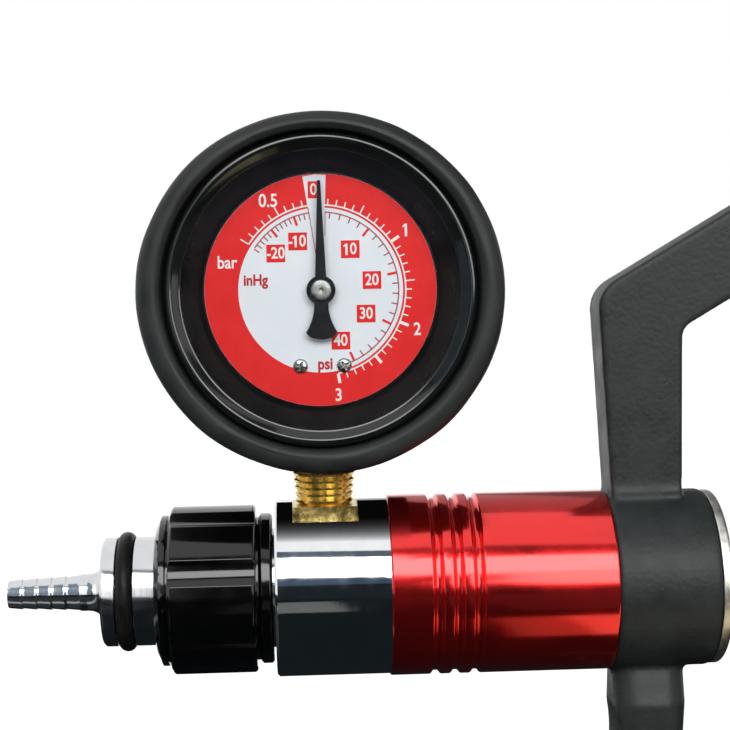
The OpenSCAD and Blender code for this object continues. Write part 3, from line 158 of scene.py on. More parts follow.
def put_in_place(piece):
    """Moves the object's origin to the world's, with its place kept in its mesh."""
    pick_only(piece)
    bpy.ops.object.transform_apply(location=True, rotation=True, scale=True)


def arc(middle, radius, start, stop, step):
    """Points on a circle about the middle, from start degrees down to stop degrees."""
    turns = [math.radians(degrees) for degrees in range(start, stop - 1, -step)]
    return [(middle[0] + radius * math.cos(turn), middle[1] + radius * math.sin(turn)) for turn in turns]


def draw_path(name, places):
    """Starts a piece in edit mode by extruding one vertex from place to place."""
    bpy.ops.object.select_all(action="DESELECT")
    bpy.ops.mesh.primitive_plane_add(size=0.1 * MM, location=places[0])
    piece = bpy.context.object
    piece.name = name
    bpy.ops.object.mode_set(mode="EDIT")
    bpy.ops.mesh.select_mode(type="VERT")
    bpy.ops.mesh.select_all(action="SELECT")
    bpy.ops.mesh.merge(type="CENTER")
    for before, after in zip(places, places[1:]):
        bpy.ops.mesh.extrude_vertices_move(TRANSFORM_OT_translate={"value": after - before})
    bpy.ops.mesh.select_all(action="SELECT")
    return piece


def turned(name, profile, centre, along=OUT, out=UP, steps=96, angle=FULL_TURN, closed=False):
    """Draws a profile of (radius, height) points and spins it about an axis."""
    same_place = 1e-7
    places = [Vector(centre) + out * radius + along * height for radius, height in profile]
    piece = draw_path(name, places + places[:1] if closed else places)
    bpy.ops.mesh.remove_doubles(threshold=same_place)
    bpy.ops.mesh.spin(steps=steps, angle=angle, center=centre, axis=along)
    bpy.ops.mesh.select_all(action="SELECT")
    bpy.ops.mesh.remove_doubles(threshold=same_place)
    if not math.isclose(angle, FULL_TURN):
        bpy.ops.mesh.select_all(action="DESELECT")
        bpy.ops.mesh.select_non_manifold()
        bpy.ops.mesh.fill_holes(sides=0)
        bpy.ops.mesh.select_all(action="SELECT")
    bpy.ops.mesh.normals_make_consistent(inside=False)
    close_mesh()
    return piece


def prism(name, places, along):
    """Draws an outline from place to place, fills it and extrudes it along a vector."""
    piece = draw_path(name, places)
    bpy.ops.mesh.edge_face_add()
    bpy.ops.mesh.extrude_region_move(TRANSFORM_OT_translate={"value": along})
    bpy.ops.mesh.select_all(action="SELECT")
    bpy.ops.mesh.normals_make_consistent(inside=False)
    close_mesh()
    return piece


def settle(piece, body, finish, replaces=(), smooth=35):
    """Finishes a piece: origin, smooth shading, material, body, and the CAD nodes it stands for, which it
    hides.
    """
    put_in_place(piece)
    if smooth:
        bpy.ops.object.shade_smooth_by_angle(angle=math.radians(smooth))
    piece.data.materials.clear()
    piece.data.materials.append(finish)
    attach(piece, body)
    if replaces:
        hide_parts(*replaces)


# Shared surface effects

COLOUR, VALUE, VECTOR = "NodeSocketColor", "NodeSocketFloat", "NodeSocketVector"


def effect(name, inputs, outputs):
    """An empty shader node group with named inputs and outputs. An input of None is a vector."""
    tree = bpy.data.node_groups.new(name, "ShaderNodeTree")
    for key, value in inputs.items():
        kind = COLOUR if isinstance(value, tuple) else VALUE
        if value is None:
            tree.interface.new_socket(key, in_out="INPUT", socket_type=VECTOR)
        else:
            tree.interface.new_socket(key, in_out="INPUT", socket_type=kind).default_value = value
    for key, kind in outputs.items():
        tree.interface.new_socket(key, in_out="OUTPUT", socket_type=kind)
    return tree, tree.nodes.new("NodeGroupInput").outputs, tree.nodes.new("NodeGroupOutput").inputs


def put(tree, kind, links=None, **settings):
    """Places a node, sets its properties, and links or sets its input sockets."""
    node = tree.nodes.new(kind)
    for key, value in settings.items():
        setattr(node, key, value)
    for key, value in (links or {}).items():
        if isinstance(value, bpy.types.NodeSocket):
            tree.links.new(value, node.inputs[key])
        else:
            node.inputs[key].default_value = value
    return node


def math_of(tree, operation, first, second=0.0):
    return put(tree, "ShaderNodeMath", {0: first, 1: second}, operation=operation).outputs[0]


def blend_of(tree, share, low, high):
    """Colour between low and high by a share from 0 to 1."""
    return put(tree, "ShaderNodeMix", {0: share, 6: low, 7: high}, data_type="RGBA").outputs[2]


def spread(tree, value, low, high, to_low=0.0, to_high=1.0):
    """Maps the range from low to high on to another range."""
    return put(tree, "ShaderNodeMapRange", {"Value": value, "From Min": low, "From Max": high,
                                            "To Min": to_low, "To Max": to_high}).outputs[0]


def noise_of(tree, place, scale, detail=3.0, rough=0.55):
    return put(tree, "ShaderNodeTexNoise", {"Vector": place, "Scale": scale, "Detail": detail,
                                            "Roughness": rough}).outputs["Fac"]


def make_mottle():
    """Two tones in soft patches, with a roughness that follows them."""
    tree, given, end = effect(
        "mottle",
        {"Place": None, "Scale": 120.0, "Tone": (0.5, 0.5, 0.5, 1), "Other tone": (0.6, 0.6, 0.6, 1),
         "Smoothest": 0.2, "Roughest": 0.3},
        {"Colour": COLOUR, "Roughness": VALUE})
    noise = noise_of(tree, given["Place"], given["Scale"])
    patches = spread(tree, noise, 0.32, 0.68)
    colour = blend_of(tree, patches, given["Tone"], given["Other tone"])
    rough = spread(tree, patches, 0.0, 1.0, given["Smoothest"], given["Roughest"])
    tree.links.new(colour, end["Colour"])
    tree.links.new(rough, end["Roughness"])
    return tree


def make_grain():
    """Height of a leathery cast or moulded skin: rounded cells with a finer grain on them."""
    tree, given, end = effect("skin_grain", {"Place": None, "Scale": 900.0, "Fine": 0.35}, {"Height": VALUE})
    cells = put(tree, "ShaderNodeTexVoronoi", {"Vector": given["Place"], "Scale": given["Scale"]},
                feature="SMOOTH_F1")
    cells.inputs["Smoothness"].default_value = 0.6
    finer = math_of(tree, "MULTIPLY", given["Scale"], 2.3)
    fine = noise_of(tree, given["Place"], finer, detail=2.0)
    rounded = math_of(tree, "SUBTRACT", 1.0, cells.outputs["Distance"])
    height = math_of(tree, "ADD", rounded, math_of(tree, "MULTIPLY", fine, given["Fine"]))
    tree.links.new(height, end["Height"])
    return tree


def make_streaks():
    """Fine lines drawn out along one direction, such as turning or drawing marks."""
    tree, given, end = effect("streaks", {"Place": None, "Across": 2500.0, "Along": 30.0}, {"Height": VALUE})
    parts = put(tree, "ShaderNodeSeparateXYZ", {0: given["Place"]}).outputs
    drawn = put(tree, "ShaderNodeCombineXYZ", {
        0: math_of(tree, "MULTIPLY", parts[0], given["Across"]),
        1: math_of(tree, "MULTIPLY", parts[1], given["Along"]),
        2: math_of(tree, "MULTIPLY", parts[2], given["Along"])}).outputs[0]
    tree.links.new(noise_of(tree, drawn, 1.0, detail=2.0), end["Height"])
    return tree


def make_turning():
    """Rings left by turning about the local z axis."""
    tree, given, end = effect("turning", {"Place": None, "Scale": 3000.0}, {"Height": VALUE})
    flat = put(tree, "ShaderNodeVectorMath", {0: given["Place"], 1: (1, 1, 0)}, operation="MULTIPLY")
    radius = put(tree, "ShaderNodeVectorMath", {0: flat.outputs[0]}, operation="LENGTH").outputs["Value"]
    along = put(tree, "ShaderNodeCombineXYZ", {0: radius}).outputs[0]
    tree.links.new(noise_of(tree, along, given["Scale"], detail=1.0), end["Height"])
    return tree


TURNING = make_turning()
MOTTLE = make_mottle()
GRAIN = make_grain()
STREAKS = make_streaks()


# Finishes

def new_finish(name, **sockets):
    """A material with a Principled shader whose even values are set here."""
    finish = bpy.data.materials.new(name)
    finish.use_nodes = True
    tree = finish.node_tree
    shader = tree.nodes["Principled BSDF"]
    for key, value in sockets.items():
        shader.inputs[key.replace("_", " ")].default_value = value
    place = tree.nodes.new("ShaderNodeTexCoord").outputs["Object"]
    return finish, tree, shader, place


def use(tree, group, **links):
    """Places a shared effect, with spaces for the underscores in its input names."""
    return put(tree, "ShaderNodeGroup", {k.replace("_", " "): v for k, v in links.items()}, node_tree=group)


def bump(tree, shader, height, strength, distance):
    node = put(tree, "ShaderNodeBump", {"Height": height, "Strength": strength, "Distance": distance})
    tree.links.new(node.outputs[0], shader.inputs["Normal"])


def add_patches(tree, shader, place, tones, rough, scale):
    """Feeds the shader's colour and roughness from soft patches of two tones."""
    patches = use(tree, MOTTLE, Place=place, Scale=scale, Tone=tones[0] + (1,), Other_tone=tones[1] + (1,),
                  Smoothest=rough[0], Roughest=rough[1]).outputs
    tree.links.new(patches["Colour"], shader.inputs["Base Color"])
    tree.links.new(patches["Roughness"], shader.inputs["Roughness"])


def mottled(name, tones, rough, scale=120.0, grain=0.0, grain_scale=900.0, streaks=0.0, across=2500.0,
            depth=0.02 * MM, **sockets):
    """A finish of two close tones with patchy gloss, and a grain or drawn streaks in its skin."""
    finish, tree, shader, place = new_finish(name, **sockets)
    add_patches(tree, shader, place, tones, rough, scale)
    if grain:
        skin = use(tree, GRAIN, Place=place, Scale=grain_scale)
        bump(tree, shader, skin.outputs["Height"], grain, depth)
    if streaks:
        lines = use(tree, STREAKS, Place=place, Across=across)
        bump(tree, shader, lines.outputs["Height"], streaks, depth)
    return finish


def make_clear():
    """Clear lens that the camera sees as glass and that lets the light straight through to the dial."""
    finish, tree, shader, place = new_finish("clear_lens", Transmission_Weight=1.0, IOR=1.45, Metallic=0.0)
    add_patches(tree, shader, place, ((0.97, 0.98, 0.98), (0.99, 1.0, 1.0)), (0.0, 0.02), 150.0)
    path = tree.nodes.new("ShaderNodeLightPath")
    through = tree.nodes.new("ShaderNodeBsdfTransparent")
    both = tree.nodes.new("ShaderNodeMixShader")
    tree.links.new(math_of(tree, "SUBTRACT", 1.0, path.outputs["Is Camera Ray"]), both.inputs[0])
    tree.links.new(shader.outputs[0], both.inputs[1])
    tree.links.new(through.outputs[0], both.inputs[2])
    tree.links.new(both.outputs[0], tree.nodes["Material Output"].inputs["Surface"])
    return finish


# Bare and plated metals
chrome = mottled("chrome", ((0.82, 0.83, 0.85), (0.88, 0.89, 0.90)), (0.03, 0.09), scale=260,
                 streaks=0.05, across=600, depth=0.05 * MM, Metallic=1.0)
bright_cap = mottled("bright_cap", ((0.62, 0.60, 0.54), (0.80, 0.78, 0.72)), (0.28, 0.42), scale=900,
                     streaks=0.2, Metallic=1.0)
bright_plate = mottled("bright_plate", ((0.66, 0.67, 0.69), (0.73, 0.735, 0.75)), (0.10, 0.18), scale=240,
                       streaks=0.12, across=1800, depth=0.05 * MM, Metallic=1.0)
spring_wire = mottled("spring_wire", ((0.5, 0.51, 0.53), (0.62, 0.63, 0.65)), (0.22, 0.32), scale=600,
                      Metallic=1.0)
bright_steel = mottled("bright_steel", ((0.56, 0.57, 0.59), (0.68, 0.69, 0.71)), (0.16, 0.3), scale=500,
                       streaks=0.1, Metallic=1.0)
red_anodised = mottled("red_anodised", ((0.86, 0.022, 0.022), (0.92, 0.028, 0.028)), (0.12, 0.20), scale=90,
                       streaks=0.06, across=1400, depth=0.05 * MM, Metallic=0.95, Coat_Weight=0.7,
                       Coat_Roughness=0.1)
piston_metal = mottled("piston_metal", ((0.62, 0.63, 0.64), (0.72, 0.73, 0.74)), (0.25, 0.35), scale=300,
                       streaks=0.15, Metallic=1.0)
yellow_brass = mottled("yellow_brass", ((0.64, 0.44, 0.12), (0.94, 0.72, 0.27)), (0.15, 0.30), scale=520,
                       grain=0.1, grain_scale=700, depth=0.05 * MM, Metallic=0.95)
pan_steel = mottled("pan_steel", ((0.36, 0.37, 0.36), (0.58, 0.58, 0.55)), (0.16, 0.32), scale=1500,
                    Metallic=1.0)

# Rubber, plastic and paint
seal_rubber = mottled("seal_rubber", ((0.006, 0.006, 0.006), (0.011, 0.011, 0.010)), (0.3, 0.44), scale=500,
                      grain=0.1, grain_scale=2500, Specular_IOR_Level=0.14)
sleeve_gloss = mottled("sleeve_gloss", ((0.0010, 0.0010, 0.0012), (0.0018, 0.0018, 0.0020)), (0.07, 0.15),
                       scale=200, grain=0.03, grain_scale=500, depth=0.05 * MM, Coat_Weight=0.25,
                       Coat_Roughness=0.04)
valve_plastic = mottled("valve_plastic", ((0.04, 0.04, 0.042), (0.06, 0.06, 0.06)), (0.4, 0.5), scale=400,
                        grain=0.1)
cast_paint = mottled("cast_paint", ((0.019, 0.0225, 0.022), (0.027, 0.0315, 0.031)), (0.36, 0.5), scale=160,
                     grain=0.55, grain_scale=1000, depth=0.08 * MM, Specular_IOR_Level=0.25)
boot_rubber = mottled("boot_rubber", ((0.015, 0.017, 0.017), (0.023, 0.026, 0.026)), (0.42, 0.56), scale=140,
                      grain=0.25, grain_scale=1600, depth=0.04 * MM, Specular_IOR_Level=0.3)
case_black = mottled("case_black", ((0.006, 0.006, 0.007), (0.011, 0.011, 0.012)), (0.12, 0.22), scale=180,
                     Specular_IOR_Level=0.5)
bezel_gloss = mottled("bezel_gloss", ((0.005, 0.006, 0.006), (0.008, 0.009, 0.009)), (0.08, 0.15), scale=240,
                      Coat_Weight=0.35, Coat_Roughness=0.06)
ring_black = mottled("ring_black", ((0.005, 0.006, 0.007), (0.010, 0.010, 0.009)), (0.16, 0.30), scale=110,
                     Specular_IOR_Level=0.32)
needle_black = mottled("needle_black", ((0.008, 0.008, 0.009), (0.014, 0.014, 0.015)), (0.3, 0.4), scale=300,
                       grain=0.05, Specular_IOR_Level=0.15)

# Dial and its print
dial_white = mottled("dial_white", ((0.80, 0.855, 0.905), (0.84, 0.89, 0.935)), (0.38, 0.46), scale=160,
                     grain=0.02, Specular_IOR_Level=0.15)
dial_red = mottled("dial_red", ((0.80, 0.024, 0.024), (0.86, 0.030, 0.030)), (0.38, 0.46), scale=220,
                   grain=0.02, Specular_IOR_Level=0.1)
ink_white = mottled("ink_white", ((0.86, 0.86, 0.85), (0.90, 0.90, 0.89)), (0.42, 0.5), scale=600)
ink_red = mottled("ink_red", ((0.50, 0.022, 0.030), (0.58, 0.028, 0.036)), (0.42, 0.5), scale=700,
                  Specular_IOR_Level=0.1)
ink_dark_red = mottled("ink_dark_red", ((0.34, 0.035, 0.05), (0.42, 0.045, 0.06)), (0.42, 0.5), scale=900)
clear_lens = make_clear()

finishes = {
    "chrome": chrome, "cap_metal": bright_cap, "seal_rubber": seal_rubber, "sleeve_plastic": sleeve_gloss,
    "valve_plastic": valve_plastic, "spring_steel": spring_wire, "steel": bright_steel,
    "red_anodised": red_anodised, "piston_metal": piston_metal, "brass": yellow_brass,
    "frame_paint": cast_paint, "boot_rubber": boot_rubber, "case_metal": case_black,
    "ring_plastic": ring_black, "glass": clear_lens, "dial_print": dial_white, "needle_paint": needle_black}

# Every CAD node takes the finish of its slot
for part in frame["record"]["subparts"]:
    node = nodes[part["node"]]
    node.data.materials.clear()
    node.data.materials.append(finishes[part["material_slot"]])


# Cast frame and lever: the CAD shapes with soft cast edges

def cast_copy(node, name, body, extra=()):
    """A CAD shape, with any extra pieces fused on, remeshed and smoothed like a casting."""
    piece = copy_of(node, name)
    if extra:
        piece = join([piece, *extra], name)
    add_and_apply(piece, "REMESH", mode="VOXEL", voxel_size=0.55 * MM)
    add_and_apply(piece, "SMOOTH", factor=0.5, iterations=3)
    settle(piece, body, cast_paint, [node], smooth=60)


# Strips at the arm's foot, in millimetres: along the pump, out from its middle, and up
STRIP_START, STRIP_LENGTH = 109.0, 14.4
ARM_FACE, STRIP_REACH, STRIP_SUNK = 6.0, 1.2, 0.6
STRIP_TOP, STRIP_LOW = 21.6, 18.2


def foot_fillet(name, side):
    """Hollow strip that runs from the arm's face down to the collar."""
    inside = ARM_FACE - STRIP_SUNK
    outline = [(inside, STRIP_LOW - 2), (inside, STRIP_TOP), (ARM_FACE, STRIP_TOP)]
    for degrees in range(18, 91, 18):
        turn = math.radians(degrees)
        outward = ARM_FACE + STRIP_REACH * (1 - math.cos(turn))
        outline.append((outward, STRIP_TOP - (STRIP_TOP - STRIP_LOW) * math.sin(turn)))
    outline.append((ARM_FACE + STRIP_REACH - 0.3, STRIP_LOW - 1.5))
    places = [Vector((STRIP_START, side * y, z)) * MM for y, z in outline]
    return prism(name, places, Vector((STRIP_LENGTH * MM, 0, 0)))


strips = [foot_fillet("front_fillet", -1), foot_fillet("rear_fillet", 1)]
cast_copy("frame", "cast_frame", "pump_body", strips)
cast_copy("lever", "cast_lever", "lever")


# Turned and moulded pieces of the pump: the CAD shapes with eased edges

def eased_copy(node, name, body, slot, width, segments=2, finish=None):
    """A CAD shape with its edges eased and its normals kept straight on the large faces."""
    piece = copy_of(node, name)
    add_and_apply(piece, "BEVEL", width=width, limit_method="ANGLE", angle_limit=math.radians(35),
                  segments=segments, use_clamp_overlap=True)
    settle(piece, body, finish or finishes[slot], [node])
    add_and_apply(piece, "WEIGHTED_NORMAL", weight=100, keep_sharp=True)


eased_copy("selector_sleeve", "fluted_sleeve", "selector", "sleeve_plastic", 0.3 * MM, segments=3)
eased_copy("pump_head", "plated_head", "pump_body", "chrome", 0.5 * MM, segments=4)
eased_copy("barrel", "grooved_barrel", "pump_body", "red_anodised", 0.2 * MM)
eased_copy("rear_cap", "turned_cap", "pump_body", "cap_metal", 0.25 * MM)
eased_copy("nozzle", "plated_nozzle", "pump_body", "chrome", 0.15 * MM, finish=bright_plate)

# Swept flare where the barb runs into the spigot, in millimetres about the pump's axis
FLARE_R, FLARE_SUNK = 3.4, 0.3
BARB_R, SPIGOT_X = 3.85, 1.9
sweep = arc((BARB_R + FLARE_R, SPIGOT_X - FLARE_R), FLARE_R, 180, 90, 10)
flare_top, flare_front = sweep[-1][0], sweep[0][1]
flare_core, flare_back = BARB_R - FLARE_SUNK, SPIGOT_X + FLARE_SUNK
sweep += [(flare_top, flare_back), (flare_core, flare_back), (flare_core, flare_front)]
flare_profile = [(r * MM, x * MM) for r, x in sweep]
flare = turned("swept_flare", flare_profile, (0, 0, 0), along=Vector((1, 0, 0)), closed=True)
settle(flare, "pump_body", bright_plate)

# Rubber boot, a little flattened and uneven like a moulded sleeve
SKIN_R, RIM_R = 33.6 * MM, 35.4 * MM
FLATTENED, FLATTEN_REACH = 0.986, 3.4 * MM
WAVE_LENGTH, WAVE_HEIGHT, WAVE_MIDDLE = 22 * MM, 0.7 * MM, 0.55
boot = copy_of("gauge_boot", "rubber_boot")
boot_low, boot_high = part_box("gauge_boot")
boot_mid = Vector(((boot_low.x + boot_high.x) / 2, 0, (boot_low.z + boot_high.z) / 2))


def from_gauge_axis(vertex):
    """Distance of a vertex from the gauge's axis."""
    return Vector((vertex.co.x - boot_mid.x, vertex.co.z - boot_mid.z)).length


outer = boot.vertex_groups.new(name="outer")
outer.add([v.index for v in boot.data.vertices if from_gauge_axis(v) > SKIN_R], 1.0, "REPLACE")
open_mesh(boot, lambda v: from_gauge_axis(v) > RIM_R)
bpy.ops.transform.resize(value=(1, 1, FLATTENED), center_override=(boot_mid.x, 0, boot_low.z),
                         use_proportional_edit=True, proportional_edit_falloff="SMOOTH",
                         proportional_size=FLATTEN_REACH)
close_mesh()
waves = bpy.data.textures.new("uneven_rubber", "CLOUDS")
waves.noise_scale = WAVE_LENGTH
add_and_apply(boot, "DISPLACE", texture=waves, texture_coords="LOCAL", strength=WAVE_HEIGHT,
              mid_level=WAVE_MIDDLE, vertex_group="outer")
settle(boot, "pump_body", boot_rubber, ["gauge_boot"], smooth=40)

# Bezel: a thin lip on the lens, a cone up to the crest, a rounded outside and a seat in the case.
# Each point is a distance from the gauge's axis and a height in front of its middle, in millimetres.
BEZEL_LIP = [(29.95, 16.65), (28.22, 16.65), (28.16, 16.72), (28.16, 16.84), (28.20, 16.92), (28.27, 16.96),
             (28.37, 16.98), (28.47, 17.01), (28.55, 17.05)]
BEZEL_SEAT = [(31.5, 14.62), (29.95, 14.62)]
CREST, CONE = 18.15, 36
INNER_R, INNER_ROUND = 30.38, 1.1
OUTER_R, OUTER_ROUND = 30.42, 1.08
bead = BEZEL_LIP + arc((INNER_R, CREST - INNER_ROUND), INNER_ROUND, 90 + CONE, 90, 4)
bead += arc((OUTER_R, CREST - OUTER_ROUND), OUTER_ROUND, 90, 0, 10) + BEZEL_SEAT
bezel = turned("bezel_bead", [(r * MM, y * MM) for r, y in bead], boot_mid, steps=180, closed=True)
settle(bezel, "pump_body", bezel_gloss, ["bezel"], smooth=50)


# Dial print, laid on the dial's face

dial_low, dial_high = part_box("dial")
face_y = dial_low.y
hub = Vector(((dial_low.x + dial_high.x) / 2, face_y, (dial_low.z + dial_high.z) / 2))
INK = 0.02 * MM


def dial_point(right, up, lift=0.0):
    """Place on the dial, in millimetres right of and above its centre, lifted by layers of ink."""
    return hub + Vector((right * MM, -lift * INK, up * MM))


def ring(name, inner, outer, lift, start=0.0, stop=360.0):
    """Printed ring or arc between two radii, from start to stop degrees clockwise from the top."""
    low, high = lift * INK, (lift + 1) * INK
    inside, outside = inner * MM, outer * MM
    turn = math.radians(start)
    return turned(name, [(inside, low), (outside, low), (outside, high), (inside, high)], hub,
                  out=Vector((math.sin(turn), 0, math.cos(turn))), closed=True,
                  steps=max(6, int((stop - start) / 2)), angle=math.radians(stop - start))


def flat_patch(name, corners, lift):
    """Printed patch with these corners, in millimetres from the dial's centre."""
    return prism(name, [dial_point(x, z, lift) for x, z in corners], OUT * INK)


def turn_about_hub(piece, degrees):
    """Turns a piece clockwise about the dial's centre."""
    spin = Matrix.Rotation(math.radians(degrees), 4, "Y")
    piece.matrix_world = Matrix.Translation(hub) @ spin @ Matrix.Translation(-hub) @ piece.matrix_world


def ticks(name, inner, outer, width, angles, lift=1):
    """One printed tick, copied round the dial."""
    half = width / 2
    first = flat_patch(name, [(-half, inner), (half, inner), (half, outer), (-half, outer)], lift)
    marks = [first] + [another(first, name) for _ in angles[1:]]
    for mark, angle in zip(marks, angles):
        turn_about_hub(mark, angle)
    return join(marks, name)


def printed(piece, finish):
    settle(piece, "pump_body", finish, smooth=0)


def words(name, text, height, right, up, lift, finish, weight=0.06):
    """Lettering of a given capital height and added weight, in millimetres, centred on a place."""
    capital_share, narrow = 0.72, 0.86
    bpy.ops.object.select_all(action="DESELECT")
    bpy.ops.object.text_add(location=dial_point(right, up, lift), rotation=(math.radians(90), 0, 0))
    letters = bpy.context.object
    letters.name = name
    letters.data.body = text
    letters.data.size = height * MM / capital_share
    letters.data.align_x = "CENTER"
    letters.data.align_y = "CENTER"
    letters.data.offset = weight * MM
    letters.data.extrude = INK / 2
    letters.data.resolution_u = 4
    letters.scale = (narrow, 1, 1)
    bpy.ops.object.convert(target="MESH")
    printed(bpy.context.object, finish)


# Degrees of the dial to each unit
BAR = 56.5
PSI = BAR / 14.504
INHG = BAR / 29.53
# Radii where the ticks of the bar scale start and those of the psi scale end, and the ticks' widths
BAR_FOOT, BAR_WIDTH = 17.4, 0.24
PSI_TOP, PSI_WIDTH = 15.8, 0.26

printed(ring("red_field", 16.75, 23.58, 0), dial_red)
# Black ring behind the dial's rim: painted shade that closes the gap between the dial and the black ring
# round it
settle(ring("dial_gap_shade", 23.3, 24.08, -30), "pump_body", ring_black, smooth=0)
printed(ring("bar_arc", 17.15, 17.45, 1, -BAR, 3 * BAR), ink_white)
printed(ring("psi_arc", 15.72, 15.98, 1, -BAR, 3 * BAR), ink_dark_red)
bar_tenths = [tenth * BAR / 10 for tenth in range(-10, 31) if tenth % 5]
bar_halves = [tenth * BAR / 10 for tenth in (-10, -5, 5, 15)]
bar_units = [BAR, 2 * BAR, 2.5 * BAR, 3 * BAR]
psi_marks = [mark * PSI for mark in range(2, 43, 2) if mark % 10]
inhg_marks = [-mark * INHG for mark in range(2, 31, 2) if mark % 10] + [-30 * INHG]
tens = [mark * PSI for mark in (10, 20, 30, 40)] + [-10 * INHG, -20 * INHG]
printed(ticks("bar_tenths", BAR_FOOT, 18.55, BAR_WIDTH, bar_tenths), ink_white)
printed(ticks("bar_halves", BAR_FOOT, 19.25, BAR_WIDTH, bar_halves), ink_white)
printed(ticks("bar_units", BAR_FOOT, 19.3, 0.6, bar_units), ink_white)
printed(ticks("psi_marks", 14.6, PSI_TOP, PSI_WIDTH, psi_marks), ink_dark_red)
printed(ticks("inhg_marks", 14.6, PSI_TOP, PSI_WIDTH, inhg_marks), ink_dark_red)
printed(ticks("psi_tens", 13.9, PSI_TOP, 0.5, tens), dial_red)

# White wedge at zero, with its dark edges
WEDGE = [(-3.27, 23.05), (-0.9, 7.4), (0.9, 7.4), (1.02, 13.2), (1.43, 23.3), (-0.9, 23.45)]
WEDGE_LEFT = [(-2.33, 16.75), (-2.17, 16.75), (-0.8, 7.4), (-0.96, 7.4)]
WEDGE_RIGHT = [(1.14, 15.9), (1.26, 15.9), (1.1, 11.0), (0.98, 11.0)]
printed(flat_patch("zero_wedge", WEDGE, 2), dial_white)
printed(flat_patch("wedge_left_line", WEDGE_LEFT, 3), ink_dark_red)
printed(flat_patch("wedge_right_line", WEDGE_RIGHT, 3), ink_dark_red)


# Domed bush on the needle, with a centre mark and turning rings

def make_turned_steel():
    """Dark steel with the rings of a lathe about the dial's centre."""
    finish, tree, shader, place = new_finish("turned_steel", Metallic=1.0)
    add_patches(tree, shader, place, ((0.22, 0.23, 0.22), (0.36, 0.37, 0.36)), (0.28, 0.42), 900.0)
    centred = put(tree, "ShaderNodeMapping", {"Vector": place, "Location": hub,
                                              "Rotation": (math.radians(90), 0, 0)}, vector_type="TEXTURE")
    rings = use(tree, TURNING, Place=centred.outputs[0], Scale=4500.0)
    bump(tree, shader, rings.outputs["Height"], 0.7, 0.08 * MM)
    return finish


# Shares of the bush's radius and height
BUSH = ((0, 0), (1, 0), (1, 0.66), (0.96, 0.82), (0.86, 0.92), (0.6, 0.98), (0.34, 1), (0.22, 0.97),
        (0.17, 0.3), (0, 0.1))
bush_low, bush_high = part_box("needle_cap")
bush_r = (bush_high.x - bush_low.x) / 2
bush_h = bush_high.y - bush_low.y
bush_profile = [(r * bush_r, h * bush_h) for r, h in BUSH]
bush = turned("needle_bush", bush_profile, (hub.x, bush_high.y, hub.z), steps=64)
settle(bush, "pointer", make_turned_steel(), ["needle_cap"])

# Cross-headed dial screws: one turned screw, copied, each cut with its own recess.
# Shares of the head's radius and heights in millimetres.
SCREW_HEAD = ((1, 0), (1, 0.16), (0.93, 0.36), (0.74, 0.55), (0.45, 0.66), (0, 0.7))
SHANK_R = 0.8 * MM
RECESS = (2.1 * MM, 1.3 * MM, 0.5 * MM)
screw_low, screw_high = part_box("dial_screws")
head_r = (screw_high.z - screw_low.z) / 2
shank = screw_high.y - face_y
left_x, right_x = screw_low.x + head_r, screw_high.x - head_r
screw_z = (screw_low.z + screw_high.z) / 2
screw_profile = [(0, -shank), (SHANK_R, -shank), (SHANK_R, 0)]
screw_profile += [(share * head_r, height * MM) for share, height in SCREW_HEAD]
left_screw = turned("dial_screw", screw_profile, (left_x, face_y, screw_z), steps=40)
right_screw = another(left_screw, "dial_screw")
right_screw.location.x += screw_high.x - screw_low.x - 2 * head_r
put_in_place(right_screw)
put_in_place(left_screw)


def cut_cross(screw, x, turn):
    """Cuts a driver's recess of two crossed bars."""
    for degrees in (turn, turn + 90):
        bpy.ops.object.select_all(action="DESELECT")
        bpy.ops.mesh.primitive_cube_add(size=1, location=(x, screw_low.y - 0.1 * MM, screw_z),
                                        rotation=(0, math.radians(degrees), 0), scale=RECESS)
        cutter = bpy.context.object
        add_and_apply(screw, "BOOLEAN", operation="DIFFERENCE", object=cutter, solver="EXACT")
        pick_only(cutter)
        bpy.ops.object.delete()


cut_cross(left_screw, left_x, 24)
cut_cross(right_screw, right_x, 62)
screws = join([left_screw, right_screw], "cross_head_screws")
settle(screws, "pump_body", pan_steel, ["dial_screws"])


# Figures and words of the dial

def red_square(name, right, up, wide, high, lift):
    """Red patch behind a figure, centred on a place."""
    left, right = right - wide / 2, right + wide / 2
    low, top = up - high / 2, up + high / 2
    printed(flat_patch(name, [(left, low), (right, low), (right, top), (left, top)], lift), dial_red)


def figure_one(name, height, right, up, lift, finish):
    """A narrow one with a slanted flag, drawn in shares of its height."""
    shape = ((-0.04, -0.5), (0.15, -0.5), (0.15, 0.5), (0.02, 0.5), (-0.2, 0.34), (-0.2, 0.19), (-0.04, 0.29))
    corners = [(right + x * height, up + z * height) for x, z in shape]
    printed(flat_patch(name, corners, lift), finish)


FIGURE, BAR_FIGURE = 2.35, 2.6
ZERO = (-1.1, 20.35)
red_square("zero_square", *ZERO, 2.3, 3.45, 3)
words("zero", "0", FIGURE, *ZERO, 4, ink_white)
for label, right, up in (("-10", -4.5, 9.97), ("-20", -9.0, 7.6), ("10", 6.14, 8.2),
                         ("20", 10.43, 1.85), ("30", 9.1, -4.95), ("40", 3.85, -10.35)):
    name = "scale_" + label.replace("-", "minus_")
    red_square(name + "_square", right, up, 3.8, 3.6, 1)
    if "1" not in label:
        words(name, label, FIGURE, right, up, 2, ink_white)
        continue
    shift = 0.35 if "-" in label else 0.0
    figure_one(name + "_one", FIGURE, right + shift - 0.9, up, 2, ink_white)
    words(name + "_nought", "0", FIGURE, right + shift + 0.62, up, 2, ink_white)
    if shift:
        words(name + "_sign", "-", FIGURE, right - 1.45, up, 2, ink_white)
figure_one("one_bar", BAR_FIGURE, 17.4, 11.9, 1, ink_white)
words("half_bar", "0.5", 2.7, -10.3, 18.2, 1, ink_white)
words("two_bar", "2", BAR_FIGURE, 19.5, -8.4, 1, ink_white)
